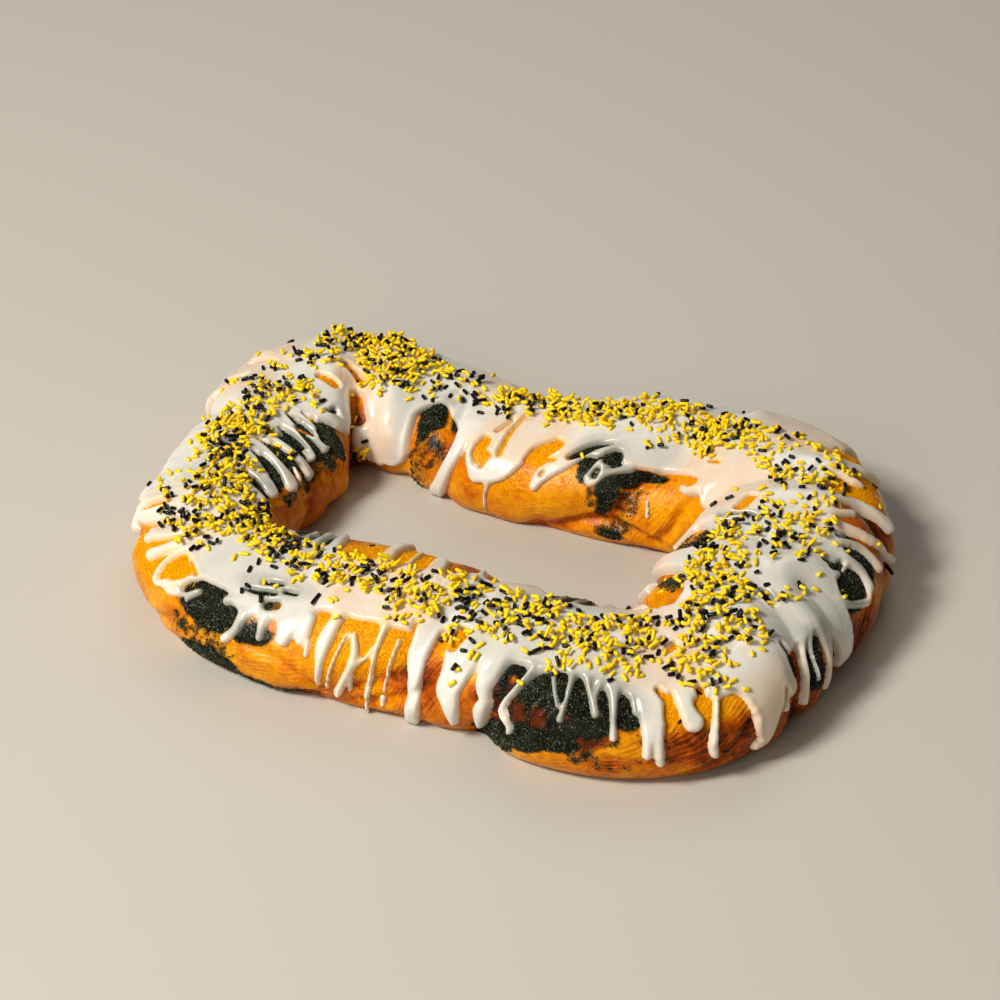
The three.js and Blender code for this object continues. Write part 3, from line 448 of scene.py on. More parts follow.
# Dough that browned to red: station, across, half sizes, how strongly
RED_DOUGH = [
    (2.5, -0.72, 0.6, 0.26, 0.72), (5.8, -0.72, 0.7, 0.18), (8.8, -0.7, 1.0, 0.24), (10.5, -0.45, 0.6, 0.3),
    (3.8, -0.57, 0.8, 0.16, 2.8), (6.0, -0.86, 0.8, 0.2, 0.9), (4.9, -0.84, 0.8, 0.12, 0.6),
    (19.4, 0.7, 0.35, 0.36, 0.5), (7.0, -0.75, 0.5, 0.3), (12.6, -0.75, 0.8, 0.22), (18.6, -0.78, 0.8, 0.2),
    (22.3, -0.8, 0.9, 0.2), (2.25, 0.15, 0.2, 0.2), (27.6, 0.6, 1.0, 0.3, 0.6),
]

# ---- Tints of the icing: station, across, half sizes, how strongly ----

# Grey where it lies thin over dark sugar
GREY_ICING = [
    (28.1, -0.3, 0.8, 0.22), (3.3, -0.2, 0.7, 0.3), (4.4, -0.22, 0.7, 0.14), (7.9, -0.3, 1.0, 0.36),
    (9.6, -0.1, 1.1, 0.34), (8.4, 0.1, 0.7, 0.3), (14.7, 0.25, 0.7, 0.2), (17.9, 0.15, 0.5, 0.4),
    (22.2, 0.15, 1.6, 0.35), (24.2, 0.1, 0.8, 0.3), (27.3, -0.18, 0.7, 0.22), (0.2, 0.1, 0.6, 0.2),
    (3.4, 0.3, 0.7, 0.3), (20.5, 0.3, 0.6, 0.3), (18.2, -0.4, 0.8, 0.3),
]
# Dark where black sugar was smudged into it, and painted shade where the icing dips into hollows
SMEARED_AND_SHADED_ICING = [
    (7.58, -0.16, 0.12, 0.05, 0.6), (7.54, -0.52, 0.1, 0.12, 0.45), (17.4, 0.12, 0.12, 0.07, 0.4),
    (23.2, -0.06, 0.2, 0.09, 0.5), (24.2, 0.06, 0.2, 0.05, 0.4), (22.1, 0.07, 0.4, 0.04, 0.35),
    (3.6, 0.26, 0.2, 0.06, 0.5), (0.1, 0.2, 0.4, 0.05, 0.5), (9.95, 0.14, 0.12, 0.1, 0.3),
]
# Peach where the dough warms it
PEACH_ICING = [
    (6.5, -0.62, 0.6, 0.26), (5.3, -0.12, 0.6, 0.2), (18.6, 0.65, 0.6, 0.3), (11.6, 0.34, 1.9, 0.24),
    (13.2, 0.3, 1.0, 0.18), (5.4, 0.2, 0.8, 0.24), (16.2, 0.25, 0.7, 0.26), (19.3, 0.22, 0.5, 0.2),
    (1.5, -0.22, 0.7, 0.16), (10.4, -0.34, 0.5, 0.26), (20.7, -0.35, 0.8, 0.3), (25.3, -0.3, 0.6, 0.2, 0.4),
    (12.6, -0.3, 0.8, 0.3), (1.5, 0.05, 0.7, 0.14), (26.2, -0.2, 0.6, 0.2, 0.5), (16.8, -0.4, 0.7, 0.3),
    (23.2, 0.42, 0.3, 0.1), (9.2, 0.45, 0.8, 0.14),
]

# ---- Sprinkles ----

# Drifts: station, across, half sizes, layers of cover, share of black
SPRINKLE_DRIFTS = [
    (0.85, -0.06, 0.4, 0.1, 1.04, 0.22), (1.5, -0.06, 0.6, 0.09, 1.04, 0.48),
    (1.45, -0.16, 0.5, 0.07, 0.35, 0.4), (2.2, -0.1, 0.3, 0.12, 0.91, 0.36),
    (1.9, -0.22, 0.2, 0.07, 0.65, 0.2), (2.65, 0.04, 0.45, 0.1, 0.52, 0.3),
    (2.75, -0.1, 0.35, 0.1, 1.04, 0.48), (3.3, -0.04, 0.4, 0.14, 1.17, 0.36),
    (3.8, 0.02, 0.4, 0.1, 0.91, 0.4), (3.85, -0.25, 0.14, 0.03, 0.78, 0.4),
    (4.4, -0.08, 0.45, 0.12, 1.04, 0.26), (4.6, 0.06, 0.5, 0.08, 0.52, 0.4),
    (5.2, -0.14, 0.4, 0.16, 0.35, 0.45), (5.3, 0.02, 0.3, 0.07, 0.65, 0.5),
    (0.15, 0.04, 0.35, 0.09, 0.78, 0.5), (0.4, -0.2, 0.5, 0.09, 0.12, 0.7),
    (2.75, -0.34, 0.3, 0.1, 0.16, 0.3), (2.6, -0.24, 0.12, 0.06, 1.04, 0.2),
    (5.8, -0.26, 0.35, 0.12, 0.55, 0.3), (5.9, -0.08, 0.3, 0.1, 0.55, 0.4),
    (6.4, -0.08, 0.45, 0.12, 1.21, 0.2), (6.7, -0.2, 0.3, 0.08, 0.88, 0.35),
    (6.6, 0.05, 0.35, 0.08, 0.77, 0.5), (7.2, 0.02, 0.5, 0.1, 0.66, 0.25),
    (7.4, 0.16, 0.6, 0.1, 0.75, 0.45), (7.5, -0.16, 0.2, 0.07, 0.55, 0.5),
    (8.2, -0.24, 0.4, 0.08, 0.14, 0.2), (8.2, 0.08, 0.35, 0.14, 0.44, 0.35),
    (8.9, -0.05, 0.5, 0.1, 0.5, 0.36), (8.7, 0.16, 0.6, 0.08, 0.66, 0.38),
    (9.6, -0.05, 0.5, 0.13, 0.55, 0.4), (9.3, 0.2, 0.4, 0.06, 0.66, 0.4),
    (10.3, -0.08, 0.5, 0.12, 0.77, 0.3), (10.6, 0.04, 0.4, 0.06, 0.66, 0.3),
    (11.2, -0.08, 0.5, 0.12, 0.77, 0.28), (11.9, -0.03, 0.5, 0.1, 0.88, 0.2),
    (12.6, 0.05, 0.6, 0.09, 0.85, 0.2), (13.4, 0.03, 0.5, 0.1, 1.05, 0.38),
    (13.8, 0.1, 0.4, 0.09, 0.8, 0.3), (14.3, -0.04, 0.5, 0.13, 1.15, 0.26),
    (14.4, 0.16, 0.2, 0.05, 0.55, 0.5), (15, 0, 0.5, 0.1, 1.1, 0.32), (15.7, -0.04, 0.5, 0.09, 1.15, 0.3),
    (16.3, -0.06, 0.45, 0.1, 1.1, 0.26), (16.95, -0.02, 0.4, 0.12, 0.66, 0.35),
    (17.4, -0.06, 0.3, 0.1, 0.3, 0.6), (18.1, 0.03, 0.4, 0.14, 1.32, 0.28),
    (18.6, 0.02, 0.5, 0.2, 1.65, 0.24), (18.75, 0.25, 0.2, 0.06, 0.66, 0.2),
    (19, -0.2, 0.4, 0.14, 1.32, 0.16), (19.4, -0.1, 0.4, 0.12, 0.88, 0.3),
    (19.9, -0.02, 0.3, 0.09, 0.5, 0.35), (20.6, 0.15, 0.2, 0.09, 0.6, 0.25),
    (21, -0.02, 0.42, 0.11, 0.95, 0.36), (21.6, -0.05, 0.35, 0.1, 0.6, 0.4),
    (22.4, -0.12, 0.55, 0.13, 0.95, 0.16), (22.3, 0.06, 0.4, 0.07, 0.65, 0.2),
    (23.1, -0.12, 0.4, 0.1, 0.5, 0.4), (23.6, -0.04, 0.45, 0.1, 1.0, 0.3),
    (22.95, 0.24, 0.2, 0.06, 0.65, 0.4), (23.8, 0.16, 0.15, 0.06, 0.65, 0.3),
    (24.3, 0.04, 0.5, 0.1, 0.91, 0.2), (24.9, 0.12, 0.5, 0.1, 1.04, 0.15),
    (25.3, -0.1, 0.4, 0.12, 0.65, 0.5), (25.4, 0.1, 0.4, 0.1, 1.04, 0.2),
    (26.1, -0.12, 0.55, 0.1, 1.04, 0.45), (25.8, 0.25, 0.35, 0.12, 1.17, 0.3),
    (26.5, 0.18, 0.6, 0.09, 0.91, 0.4), (27.1, 0.12, 0.5, 0.08, 0.78, 0.4),
    (27.7, 0.07, 0.4, 0.08, 0.91, 0.3), (28.2, -0.02, 0.3, 0.05, 0.52, 0.6),
    (21.5, -0.3, 0.4, 0.1, 0.1, 0.2), (19.08, -0.2, 0.07, 0.22, 1.76, 0.08),
    (19.36, 0.7, 0.1, 0.24, 0.35, 0.1), (11.6, -0.22, 0.4, 0.08, 0.3, 0.1),
    (14.8, -0.22, 0.5, 0.08, 0.2, 0.3), (16.2, -0.25, 0.3, 0.08, 0.3, 0.3),
    (24.3, -0.3, 0.6, 0.12, 0.08, 0.2),
]
# Sprinkles that fell singly: how many, middle and spread over the dough, share of black
STRAYS = 170
STRAY_ACROSS = (-0.05, 0.24)
STRAY_BLACK_SHARE = 0.4
# A rod, how the rods of a drift clump, and how they come to rest on one another
SPRINKLE_RADIUS = 1.14
SPRINKLE_LENGTHS = (3.1, 6.5)
LONG_RODS = (6.5, 9.0)
LONG_SHARE = 0.02
SPRINKLE_FOOTPRINT = 5.6
OVAL_SHARE = 0.8
CLUMP_SIZE = 7
CLUMP_SPREAD = 2.6
LOOSE_SHARE = 0.45
LOOSE_SPREAD = 1.3
BLACK_SHARE = 0.82
TURNS_TRIED = 4
NEIGHBOUR_REACH = 7
LAYER_RISE = 1.35
HIGHEST_LAYER = 2
TOUCHING = 1.9
STANDING_SHARE = 0.1
STANDING_SLOPE = (0.5, 1.3)
KEPT_OFF_ICING = 0.6
LOWEST_SPRINKLE = 1.5
TOP_LIMIT = 73.4
ROD_SIDES = 6
ROD_END_RADIUS = 0.5
# Outline of a rod from end to end: how far on, as a share of its length, and how much wider
ROD_STEPS = ((0.04, 1.72), (0.08, 1 / 0.86), (0.76, 1.0), (0.08, 0.86), (0.04, 1 / 1.72))

# ---- Grains of sanding sugar ----

GRAIN_TRIES = 330000
GRAINS_TO = 0.99
BLACK_GRAIN_RADIUS = 0.62
YELLOW_GRAIN_RADIUS = 0.42
GRAIN_SIZES = (0.65, 1.2)
GRAIN_FLATNESS = 0.8
CLEAR_OF_ICING = 0.2
LOWEST_GRAIN = 0.8


def rounded_line(line, swell):
    """The stations of a rounded rectangle, each pushed out by its swell; z carries the crest height."""
    half_length, half_width, corner = line
    points = []
    for quarter in range(4):
        on_leg = quarter % 2 == 0
        turn = quarter * pi / 2
        half_run = (half_length if on_leg else half_width) - corner
        reach = half_width if on_leg else half_length
        spans = LEG_SPANS if on_leg else SIDE_SPANS
        places = [(-half_run + 2 * half_run * i / spans, reach, turn - pi / 2) for i in range(spans)]
        for i in range(CORNER_SPANS):
            swing = pi / 2 * i / CORNER_SPANS
            along = half_run + corner * sin(swing)
            places.append((along, reach - corner + corner * cos(swing), turn - pi / 2 + swing))
        for along, out, angle in places:
            push = swell[len(points)]
            x = along * cos(turn) + out * sin(turn) + cos(angle) * push
            y = along * sin(turn) - out * cos(turn) + sin(angle) * push
            points.append((RING_MIDDLE[0] + x, RING_MIDDLE[1] + y, CREST_HEIGHT[len(points)]))
    return np.array(points, float)


OUTER_POINTS = rounded_line(OUTER_LINE, OUTER_SWELL)
HOLE_POINTS = rounded_line(HOLE_LINE, HOLE_SWELL)


def bridged(start, end, leave, arrive, w):
    """The smooth curve from a start to an end that leaves and arrives along given directions."""
    bend = (3 * (end - start) - 2 * leave - arrive) * w**2
    return start + leave * w + bend + (2 * (start - end) + leave + arrive) * w**3


def curve_at(points, station):
    """A closed centripetal curve through the station points."""
    start = np.floor(station)
    i = start.astype(int) % STATIONS
    w = (station - start)[..., None]
    p0, p1, p2, p3 = (points[(i + k) % STATIONS] for k in (-1, 0, 1, 2))
    d0, d1, d2 = (
        np.sqrt(np.linalg.norm(b - a, axis=-1))[..., None] for a, b in ((p0, p1), (p1, p2), (p2, p3))
    )
    t1 = ((p1 - p0) / d0 - (p2 - p0) / (d0 + d1) + (p2 - p1) / d1) * d1
    t2 = ((p2 - p1) / d1 - (p3 - p1) / (d1 + d2) + (p3 - p2) / d2) * d1
    return bridged(p1, p2, t1, t2, w)


def section(across, crest):
    """How far out and how high the section is at "across", for a half width of 1."""
    a = np.abs(across)
    widest = WIDEST_AT * crest
    angle = pi / 2 * (1 - np.minimum(a / SHOULDER, 1))
    out = np.cos(angle) ** (2 / DOME_POWER)
    height = widest + (crest - widest) * np.sin(angle) ** (2 / DOME_POWER)
    down = np.maximum((a - SHOULDER) / (1 - SHOULDER), 0)
    is_below = a > SHOULDER
    tucked = np.cbrt(1 - (TUCK * down) ** 3)
    return np.where(is_below, tucked, out), np.where(is_below, widest * (1 - down), height)


def dome_point(station, across):
    """The plain dome, before the folds."""
    outer = curve_at(OUTER_POINTS, station)
    hole = curve_at(HOLE_POINTS, station)
    out, height = section(across, outer[..., 2])
    share = (0.5 - 0.5 * np.sign(across) * out)[..., None]
    point = hole + (outer - hole) * share
    point[..., 2] = height
    return point


def dome_normal(station, across):
    """Outward directions of the plain dome."""
    step = 0.02
    high = np.minimum(across + step, 1)
    low = np.maximum(across - step, -1)
    along = dome_point(station + step, across) - dome_point(station - step, across)
    over = dome_point(station, high) - dome_point(station, low)
    normal = np.cross(along, over)
    return normal / np.linalg.norm(normal, axis=-1)[..., None]


def station_gap(station, middle):
    """Stations from a middle, the short way round the ring."""
    return np.mod(station - middle + STATIONS / 2, STATIONS) - STATIONS / 2


def near_station(station, middle, half):
    """Which places lie within some stations of a middle."""
    return np.nonzero(np.abs(station_gap(station, middle)) < half)[0]


def oval_reach(station, across, middle, row, half_along, half_down):
    """Square of the distance from an oval's middle, which is 1 on its edge."""
    return (station_gap(station, middle) / half_along) ** 2 + ((across - row) / half_down) ** 2


def soft_noise(points, size, seed):
    """Smooth random values from -1 to 1 that change over a size in millimetres."""
    at = points / size + 31.7 * seed
    cell = np.floor(at).astype(np.int64)
    part = at - cell
    part = part * part * (3 - 2 * part)
    total = np.zeros(len(points))
    for corner in np.ndindex(2, 2, 2):
        key = ((cell + corner) * (73856093, 19349663, 83492791)).sum(axis=1) + seed * 7919
        key = (key ^ (key >> 13)) * 1274126177
        value = ((key ^ (key >> 16)) & 0xFFFF) / 32767.5 - 1
        total += value * np.prod(np.where(corner, part, 1 - part), axis=1)
    return total


def smooth_path(line, step=4.0):
    """A line of (station, across, ...) made into a smooth run of points about a step apart."""
    line = np.array(line, float)
    ends = np.concatenate([2 * line[:1] - line[1:2], line, 2 * line[-1:] - line[-2:-1]])
    made = []
    for p0, p1, p2, p3 in zip(ends, ends[1:], ends[2:], ends[3:]):
        a, b = dome_point(np.array([p1[0], p2[0]]), np.array([p1[1], p2[1]]))
        count = max(1, ceil(np.linalg.norm(b - a) / step))
        w = (np.arange(count) / count)[:, None]
        made.append(bridged(p1, p2, (p2 - p0) / 2, (p3 - p1) / 2, w))
    made.append(line[-1:])
    return np.concatenate(made)


def near_line(station, across, path, margin):
    """Which places lie within a margin in millimetres of a path's own box."""
    middle = (path[:, 0].min() + path[:, 0].max()) / 2
    half = (path[:, 0].max() - path[:, 0].min()) / 2 + margin / LEAST_STATION_SPAN
    is_near = np.abs(station_gap(station, middle)) < half
    is_near &= across > path[:, 1].min() - margin / LEAST_ACROSS_SPAN
    is_near &= across < path[:, 1].max() + margin / LEAST_ACROSS_SPAN
    return np.nonzero(is_near)[0]


def line_distance(points, path):
    """Distance to a path on the dome, and the path's own third number at the nearest place."""
    nodes = dome_point(path[:, 0], path[:, 1])
    nearest = np.full(len(points), 1e9)
    carried = np.zeros(len(points))
    for a, b, wa, wb in zip(nodes, nodes[1:], path[:, 2], path[1:, 2]):
        run = b - a
        t = np.clip((points - a) @ run / max(run @ run, 1e-9), 0, 1)
        away = np.linalg.norm(points - a - t[:, None] * run, axis=1)
        is_nearer = away < nearest
        nearest = np.where(is_nearer, away, nearest)
        carried = np.where(is_nearer, wa + (wb - wa) * t, carried)
    return nearest, carried


def with_width(line):
    """A line of (station, across) with a width of nothing at each point."""
    return [(*place, 0.0) for place in line]


def fold_relief(station, across, plain):
    """A groove at each fold with a low swelling on both sides of it."""
    relief = np.zeros(len(plain))
    for depth, line in FOLDS:
        path = np.array(with_width(line))
        near = near_station(station, path[:, 0].mean(), np.ptp(path[:, 0]) / 2 + FOLD_REACH)
        away, _ = line_distance(plain[near], fine_straight(path))
        lip = np.exp(-(((away - FOLD_LIP_AT) / FOLD_LIP_AT * 1.4) ** 2))
        relief[near] += depth * (FOLD_LIP * lip - np.exp(-((away / FOLD_HALF_WIDTH) ** 1.5)))
    return relief


def fine_straight(path):
    """A path split into even steps, a fixed number to a span."""
    share = np.arange(FOLD_STEPS)[:, None] / FOLD_STEPS
    spans = [a + (b - a) * share for a, b in zip(path, path[1:])]
    return np.concatenate([*spans, path[-1:]])


def dough_detail(station, across, plain):
    """Narrow creases, stretch wrinkles and lumps of the baked strands."""
    detail = 0.55 * soft_noise(plain, 26, 1) + 0.3 * soft_noise(plain, 9, 2)
    for depth, width, line in CREASES:
        path = smooth_path(with_width(line))
        near = near_line(station, across, path, 4 * width)
        away, _ = line_distance(plain[near], path)
        detail[near] += depth * (0.4 * np.exp(-((away / width - 2) ** 2)) - np.exp(-((away / width) ** 2)))
    phase, depth = stretch_wrinkles(station, across, plain)
    detail += 0.55 * depth * np.cos(pi * phase)
    return detail


def stretch_wrinkles(station, across, plain):
    """Where each place lies between one wrinkle and the next, and how deep the wrinkles are there."""
    phase = np.zeros(len(plain))
    depth = np.zeros(len(plain))
    for middle, row, half_along, half_down, heading, spacing, deepest in WRINKLES:
        near = near_station(station, middle, half_along / WRINKLE_SEARCH)
        along = station_gap(station[near], middle) * STATION_SPAN
        down = (across[near] - row) * ACROSS_SPAN
        window = np.exp(-((along / half_along) ** 2) - (down / half_down) ** 2)
        turn = radians(heading)
        aside = down * cos(turn) - along * sin(turn)
        bend = sum(high * soft_noise(plain[near], size, seed) for high, size, seed in WRINKLE_BENDS)
        local = deepest * window * np.clip(0.55 + 0.9 * soft_noise(plain[near], 9, 7), 0, 1.2)
        is_deeper = local > depth[near]
        phase[near] = np.where(is_deeper, (aside + bend) / spacing, phase[near])
        depth[near] = np.where(is_deeper, local, depth[near])
    return phase, depth


def with_fullness(patches):
    """Patches whose last number is how full or high they are, 1 where none is given."""
    return [patch if len(patch) > 4 else (*patch, 1) for patch in patches]


def patch_field(station, across, patches):
    """The fullest of some soft-edged oval patches at each place."""
    field = np.zeros(len(station))
    for *oval, fullness in with_fullness(patches):
        field = np.maximum(field, fullness * np.clip(1.5 - oval_reach(station, across, *oval), 0, 1))
    return field


def swelling(station, across):
    """Height of the icing's broad swellings, each fading out smoothly."""
    height = np.zeros(len(station))
    for *oval, high in with_fullness(ICING_LUMPS):
        height += LUMP_HEIGHT * high * np.exp(-oval_reach(station, across, *oval))
    return height


def edge_at(edges, station):
    """Where an edge of the poured sheet lies, eased from one half station to the next."""
    at = np.mod(station, STATIONS) * len(edges) / STATIONS
    i = np.floor(at).astype(int) % len(edges)
    w = at - np.floor(at)
    w = w * w * (3 - 2 * w)
    values = np.array(edges)
    return values[i] * (1 - w) + values[(i + 1) % len(edges)] * w


def joined(a, b, web):
    """The larger of two, with a rounded join."""
    return np.maximum(a, b) + np.maximum(web - np.abs(a - b), 0) ** 2 / (4 * web)


RUBBED_PATHS = [smooth_path(line) for line in RUBBED_OFF]
RUN_PATHS = [smooth_path(line) for line in RUNS]
GAP_PATHS = [smooth_path(line) for line in GAPS]


def icing_cover(station, across, plain):
    """Millimetres inside the icing's outline, below zero outside, and how far its runs stand proud."""
    wobble = 0.6 * soft_noise(plain, 11, 11) + 0.3 * soft_noise(plain, 5, 12)
    below_outer = (across - edge_at(OUTER_EDGE, station)) * ACROSS_SPAN
    below_hole = (edge_at(HOLE_EDGE, station) - across) * ACROSS_SPAN
    inside = np.minimum(below_outer, below_hole) + wobble
    proud = np.zeros(len(plain))
    for path in RUN_PATHS:
        near = near_line(station, across, path, RUN_SEARCH)
        away, width = line_distance(plain[near], path)
        half = width / 2
        reach = half * (1 + RUN_ROUNDNESS**2) ** 0.5 - np.sqrt(away**2 + (RUN_ROUNDNESS * half) ** 2)
        inside[near] = joined(inside[near], reach + 0.25 * wobble[near], RUN_WEB)
        bulge = RUN_BULGE * np.minimum(half, BULGING_HALF) * np.exp(-((away / half) ** 2))
        proud[near] = np.maximum(proud[near], bulge)
    for path in GAP_PATHS:
        near = near_line(station, across, path, GAP_SEARCH)
        away, width = line_distance(plain[near], path)
        outside = away - width / 2
        inside[near] = -joined(-inside[near], -outside, GAP_WEB)
    return inside, proud


def icing_height(inside, proud, plain, relief):
    """Height of the icing's skin over the dough."""
    roll = np.clip(inside / EDGE_ROLL, 0, 1)
    rounded = np.sqrt(1 - (1 - roll) ** 2)
    ripple = 0.28 * soft_noise(plain, 17, 21) + 0.1 * soft_noise(plain, 8, 22)
    bead = EDGE_BEAD * np.exp(-(((inside - EDGE_ROLL) / BEAD_WIDTH) ** 2))
    fill = CREASE_FILL * np.maximum(-relief, 0)
    height = (SHEET_HEIGHT + bead + proud) * rounded + (ripple + fill) * roll
    sunk = -EDGE_SUNK * np.sqrt(np.clip(-inside / EDGE_SUNK_OVER, 0, 1))
    return np.where(inside > 0, height, sunk)


def ring_surface(station, across):
    """The dough's skin with all its relief: points, outward directions, the dome's points, the relief."""
    plain = dome_point(station, across)
    normal = dome_normal(station, across)
    relief = fold_relief(station, across, plain)
    detail = dough_detail(station, across, plain)
    near_foot = np.clip((1 - np.abs(across)) / 0.12, 0, 1)
    point = plain + normal * (relief + detail * near_foot)[:, None]
    lowest = 0.5 * near_foot
    point[:, 2] = np.where(np.abs(across) > 0.9999, 0, np.maximum(point[:, 2], lowest))
    return point, normal, plain, relief + detail


def icing_surface(station, across):
    """The icing's skin: points, outward directions, the dome's points, millimetres inside its outline."""
    plain = dome_point(station, across)
    normal = dome_normal(station, across)
    fold = fold_relief(station, across, plain)
    detail = dough_detail(station, across, plain)
    inside, proud = icing_cover(station, across, plain)
    height = icing_height(inside, proud, plain, fold)
    smoothing = 0.75 * np.clip(inside / 5, 0, 1)
    lump = swelling(station, across) * np.clip(inside / 6, 0, 1)
    lift = fold + detail * (1 - smoothing) + height + lump
    point = plain + normal * lift[:, None]
    point[:, 2] = np.maximum(point[:, 2], LOWEST_ICING)
    return point, normal, plain, inside


# ---- Meshes ----


def new_piece(name, mesh, material, slot, *nodes):
    """An object at the origin that rides on the cake and may stand for CAD nodes."""
    mesh.name = name
    mesh.materials.append(material)
    mesh.shade_smooth()
    piece = bpy.data.objects.new(name, mesh)
    bpy.context.collection.objects.link(piece)
    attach(piece, "root")
    if nodes:
        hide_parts(*nodes)
    return piece


def flat_sheet(first, last, columns, rows, outer=-1.0, hole=1.0):
    """A flat grid whose x is the station and whose y is "across"."""
    bm = bmesh.new()
    bmesh.ops.create_grid(bm, x_segments=columns, y_segments=rows, size=0.5)
    stretch = Matrix.Diagonal((last - first, hole - outer, 1, 1))
    move = Matrix.Translation(((first + last) / 2, (outer + hole) / 2, 0))
    bmesh.ops.transform(bm, matrix=move @ stretch, verts=bm.verts)
    return bm


def made_mesh(bm, name):
    """The finished mesh of a bmesh, which is then freed."""
    mesh = bpy.data.meshes.new(name)
    bm.to_mesh(mesh)
    bm.free()
    return mesh


def vertex_places(mesh):
    """The mesh's vertices as an array, in the units that the mesh holds."""
    places = np.empty(len(mesh.vertices) * 3)
    mesh.vertices.foreach_get("co", places)
    return places.reshape(-1, 3)


def set_places(mesh, points):
    """Moves the mesh's vertices to points in millimetres."""
    mesh.vertices.foreach_set("co", (points * MM).ravel())
    mesh.update()


def add_number(mesh, name, values):
    """A named number on each vertex, for a material to read."""
    attribute = mesh.attributes.new(name, "FLOAT", "POINT")
    attribute.data.foreach_set("value", np.asarray(values, dtype=np.float32))


def add_colour(mesh, name, colours):
    """A named colour on each vertex, for a material to read."""
    attribute = mesh.attributes.new(name, "FLOAT_COLOR", "POINT")
    with_alpha = np.concatenate([colours, np.ones((len(colours), 1))], axis=1)
    attribute.data.foreach_set("color", with_alpha.astype(np.float32).ravel())


DOUGH_COLUMNS = 900
DOUGH_ROWS = 104
CREST_SPREAD = 0.82


def dough_ring():
    """The baked dough: a flat sheet laid round the ring, with its sugar and browning as numbers."""
    mesh = made_mesh(flat_sheet(0, STATIONS, DOUGH_COLUMNS, DOUGH_ROWS), "dough_ring_baked")
    flat = vertex_places(mesh)
    station = flat[:, 0]
    across = np.sign(flat[:, 1]) * np.abs(flat[:, 1]) ** CREST_SPREAD
    across = np.clip(across, -1, 1)
    point, _, plain, relief = ring_surface(station, across)
    black = sugar_on(station, across, plain, BLACK_SUGAR, BLACK_SEED)
    yellow = sugar_on(station, across, plain, YELLOW_SUGAR, YELLOW_SEED)
    set_places(mesh, point)
    add_number(mesh, "black_sugar", black)
    add_number(mesh, "yellow_sugar", yellow)
    # Depth of the grooves, which the crust's colour darkens as painted shade
    add_number(mesh, "crease", np.clip(-relief / 4, 0, 1))
    add_number(mesh, "bake", bake_depth(station, across, plain))
    phase, depth = stretch_wrinkles(station, across, plain)
    add_number(mesh, "wrinkle_phase", phase)
    add_number(mesh, "wrinkle_depth", depth)
    add_number(mesh, "strand_along", station * STATION_SPAN * MM)
    add_number(mesh, "strand_down", across * ACROSS_SPAN * MM)
    close_ring(mesh)
    return new_piece("dough_ring_baked", mesh, egg_washed_crust(), "dough", "dough_ring")


def close_ring(mesh):
    """Joins the ring's first and last columns and closes its underside between the two feet."""
    bm = bmesh.new()
    bm.from_mesh(mesh)
    bmesh.ops.remove_doubles(bm, verts=bm.verts, dist=0.01 * MM)
    feet = [edge for edge in bm.edges if edge.is_boundary]
    bmesh.ops.bridge_loops(bm, edges=feet)
    bmesh.ops.recalc_face_normals(bm, faces=bm.faces)
    bm.to_mesh(mesh)
    bm.free()


def sugar_on(station, across, plain, patches, seed):
    """How full of sugar the dough is, from 0 to 1, with a ragged edge."""
    field = patch_field(station, across, patches)
    for path in RUBBED_PATHS:
        near = near_line(station, across, path, RUB_SEARCH)
        away, width = line_distance(plain[near], path)
        field[near] *= 1 - RUBBED_SHARE * np.exp(-((2 * away / width) ** 2))
    ragged = 0.35 * soft_noise(plain, 7, seed) + 0.25 * soft_noise(plain, 2.6, seed + 1)
    worn = np.clip(-0.3 - soft_noise(plain, 5, seed + 2), 0, 1) * 0.6
    return np.clip(field + ragged * (field > 0.02) * (1.2 - field) - worn, 0, 1)


def bake_depth(station, across, plain):
    """How far the crust has browned, from 0, golden, to 1, red-brown."""
    red = patch_field(station, across, RED_DOUGH)
    low = np.clip((np.abs(across) - 0.86) / 0.14, 0, 1)
    cloud = 0.22 * soft_noise(plain, 30, 51) + 0.14 * soft_noise(plain, 11, 52)
    return np.clip(0.27 + 0.45 * red + 0.1 * low + cloud, 0, 1)


ICING_PARTS = 4
ICING_COLUMNS = 350
ICING_ROWS = 208
ICING_REACH = 0.985


def icing_part(number, material):
    """One part of the icing: a shell cut along its outline, whose edges are buried in the dough."""
    span = STATIONS / ICING_PARTS
    start = number * span
    bm = flat_sheet(start, start + span, ICING_COLUMNS, ICING_ROWS, -ICING_REACH, ICING_REACH)
    flat = np.array([vertex.co[:2] for vertex in bm.verts])
    plain = dome_point(flat[:, 0], flat[:, 1])
    inside, _ = icing_cover(flat[:, 0], flat[:, 1], plain)
    bare = [vertex for vertex, depth in zip(bm.verts, inside) if depth < -OUTLINE_MARGIN]
    bmesh.ops.delete(bm, geom=bare, context="VERTS")
    loose = [vertex for vertex in bm.verts if not vertex.link_faces]
    bmesh.ops.delete(bm, geom=loose, context="VERTS")
    underside = bm.faces[:]
    made = bmesh.ops.extrude_face_region(bm, geom=underside, use_keep_orig=True)
    raised = [item for item in made["geom"] if isinstance(item, bmesh.types.BMVert)]
    bmesh.ops.translate(bm, vec=(0, 0, 1), verts=raised)
    bmesh.ops.reverse_faces(bm, faces=underside)
    mesh = made_mesh(bm, "icing")
    flat = vertex_places(mesh)
    lay_icing(mesh, flat[:, 0], flat[:, 1], flat[:, 2] > 0.5)
    return new_piece(f"icing_poured_{number + 1}", mesh, material, "icing", "icing")


def lay_icing(mesh, station, across, is_top):
    """Lays the top of a flat shell on the icing's skin and its underside within the dough."""
    point, normal, plain, inside = icing_surface(station, across)
    buried, _, _, _ = ring_surface(station, across)
    buried -= normal * BURIED
    buried[:, 2] = np.maximum(buried[:, 2], LOWEST_BURIED)
    set_places(mesh, np.where(is_top[:, None], point, buried))
    add_colour(mesh, "tint", icing_tint(station, across, plain, inside))
    mesh.set_sharp_from_angle(angle=SHARP_EDGE)


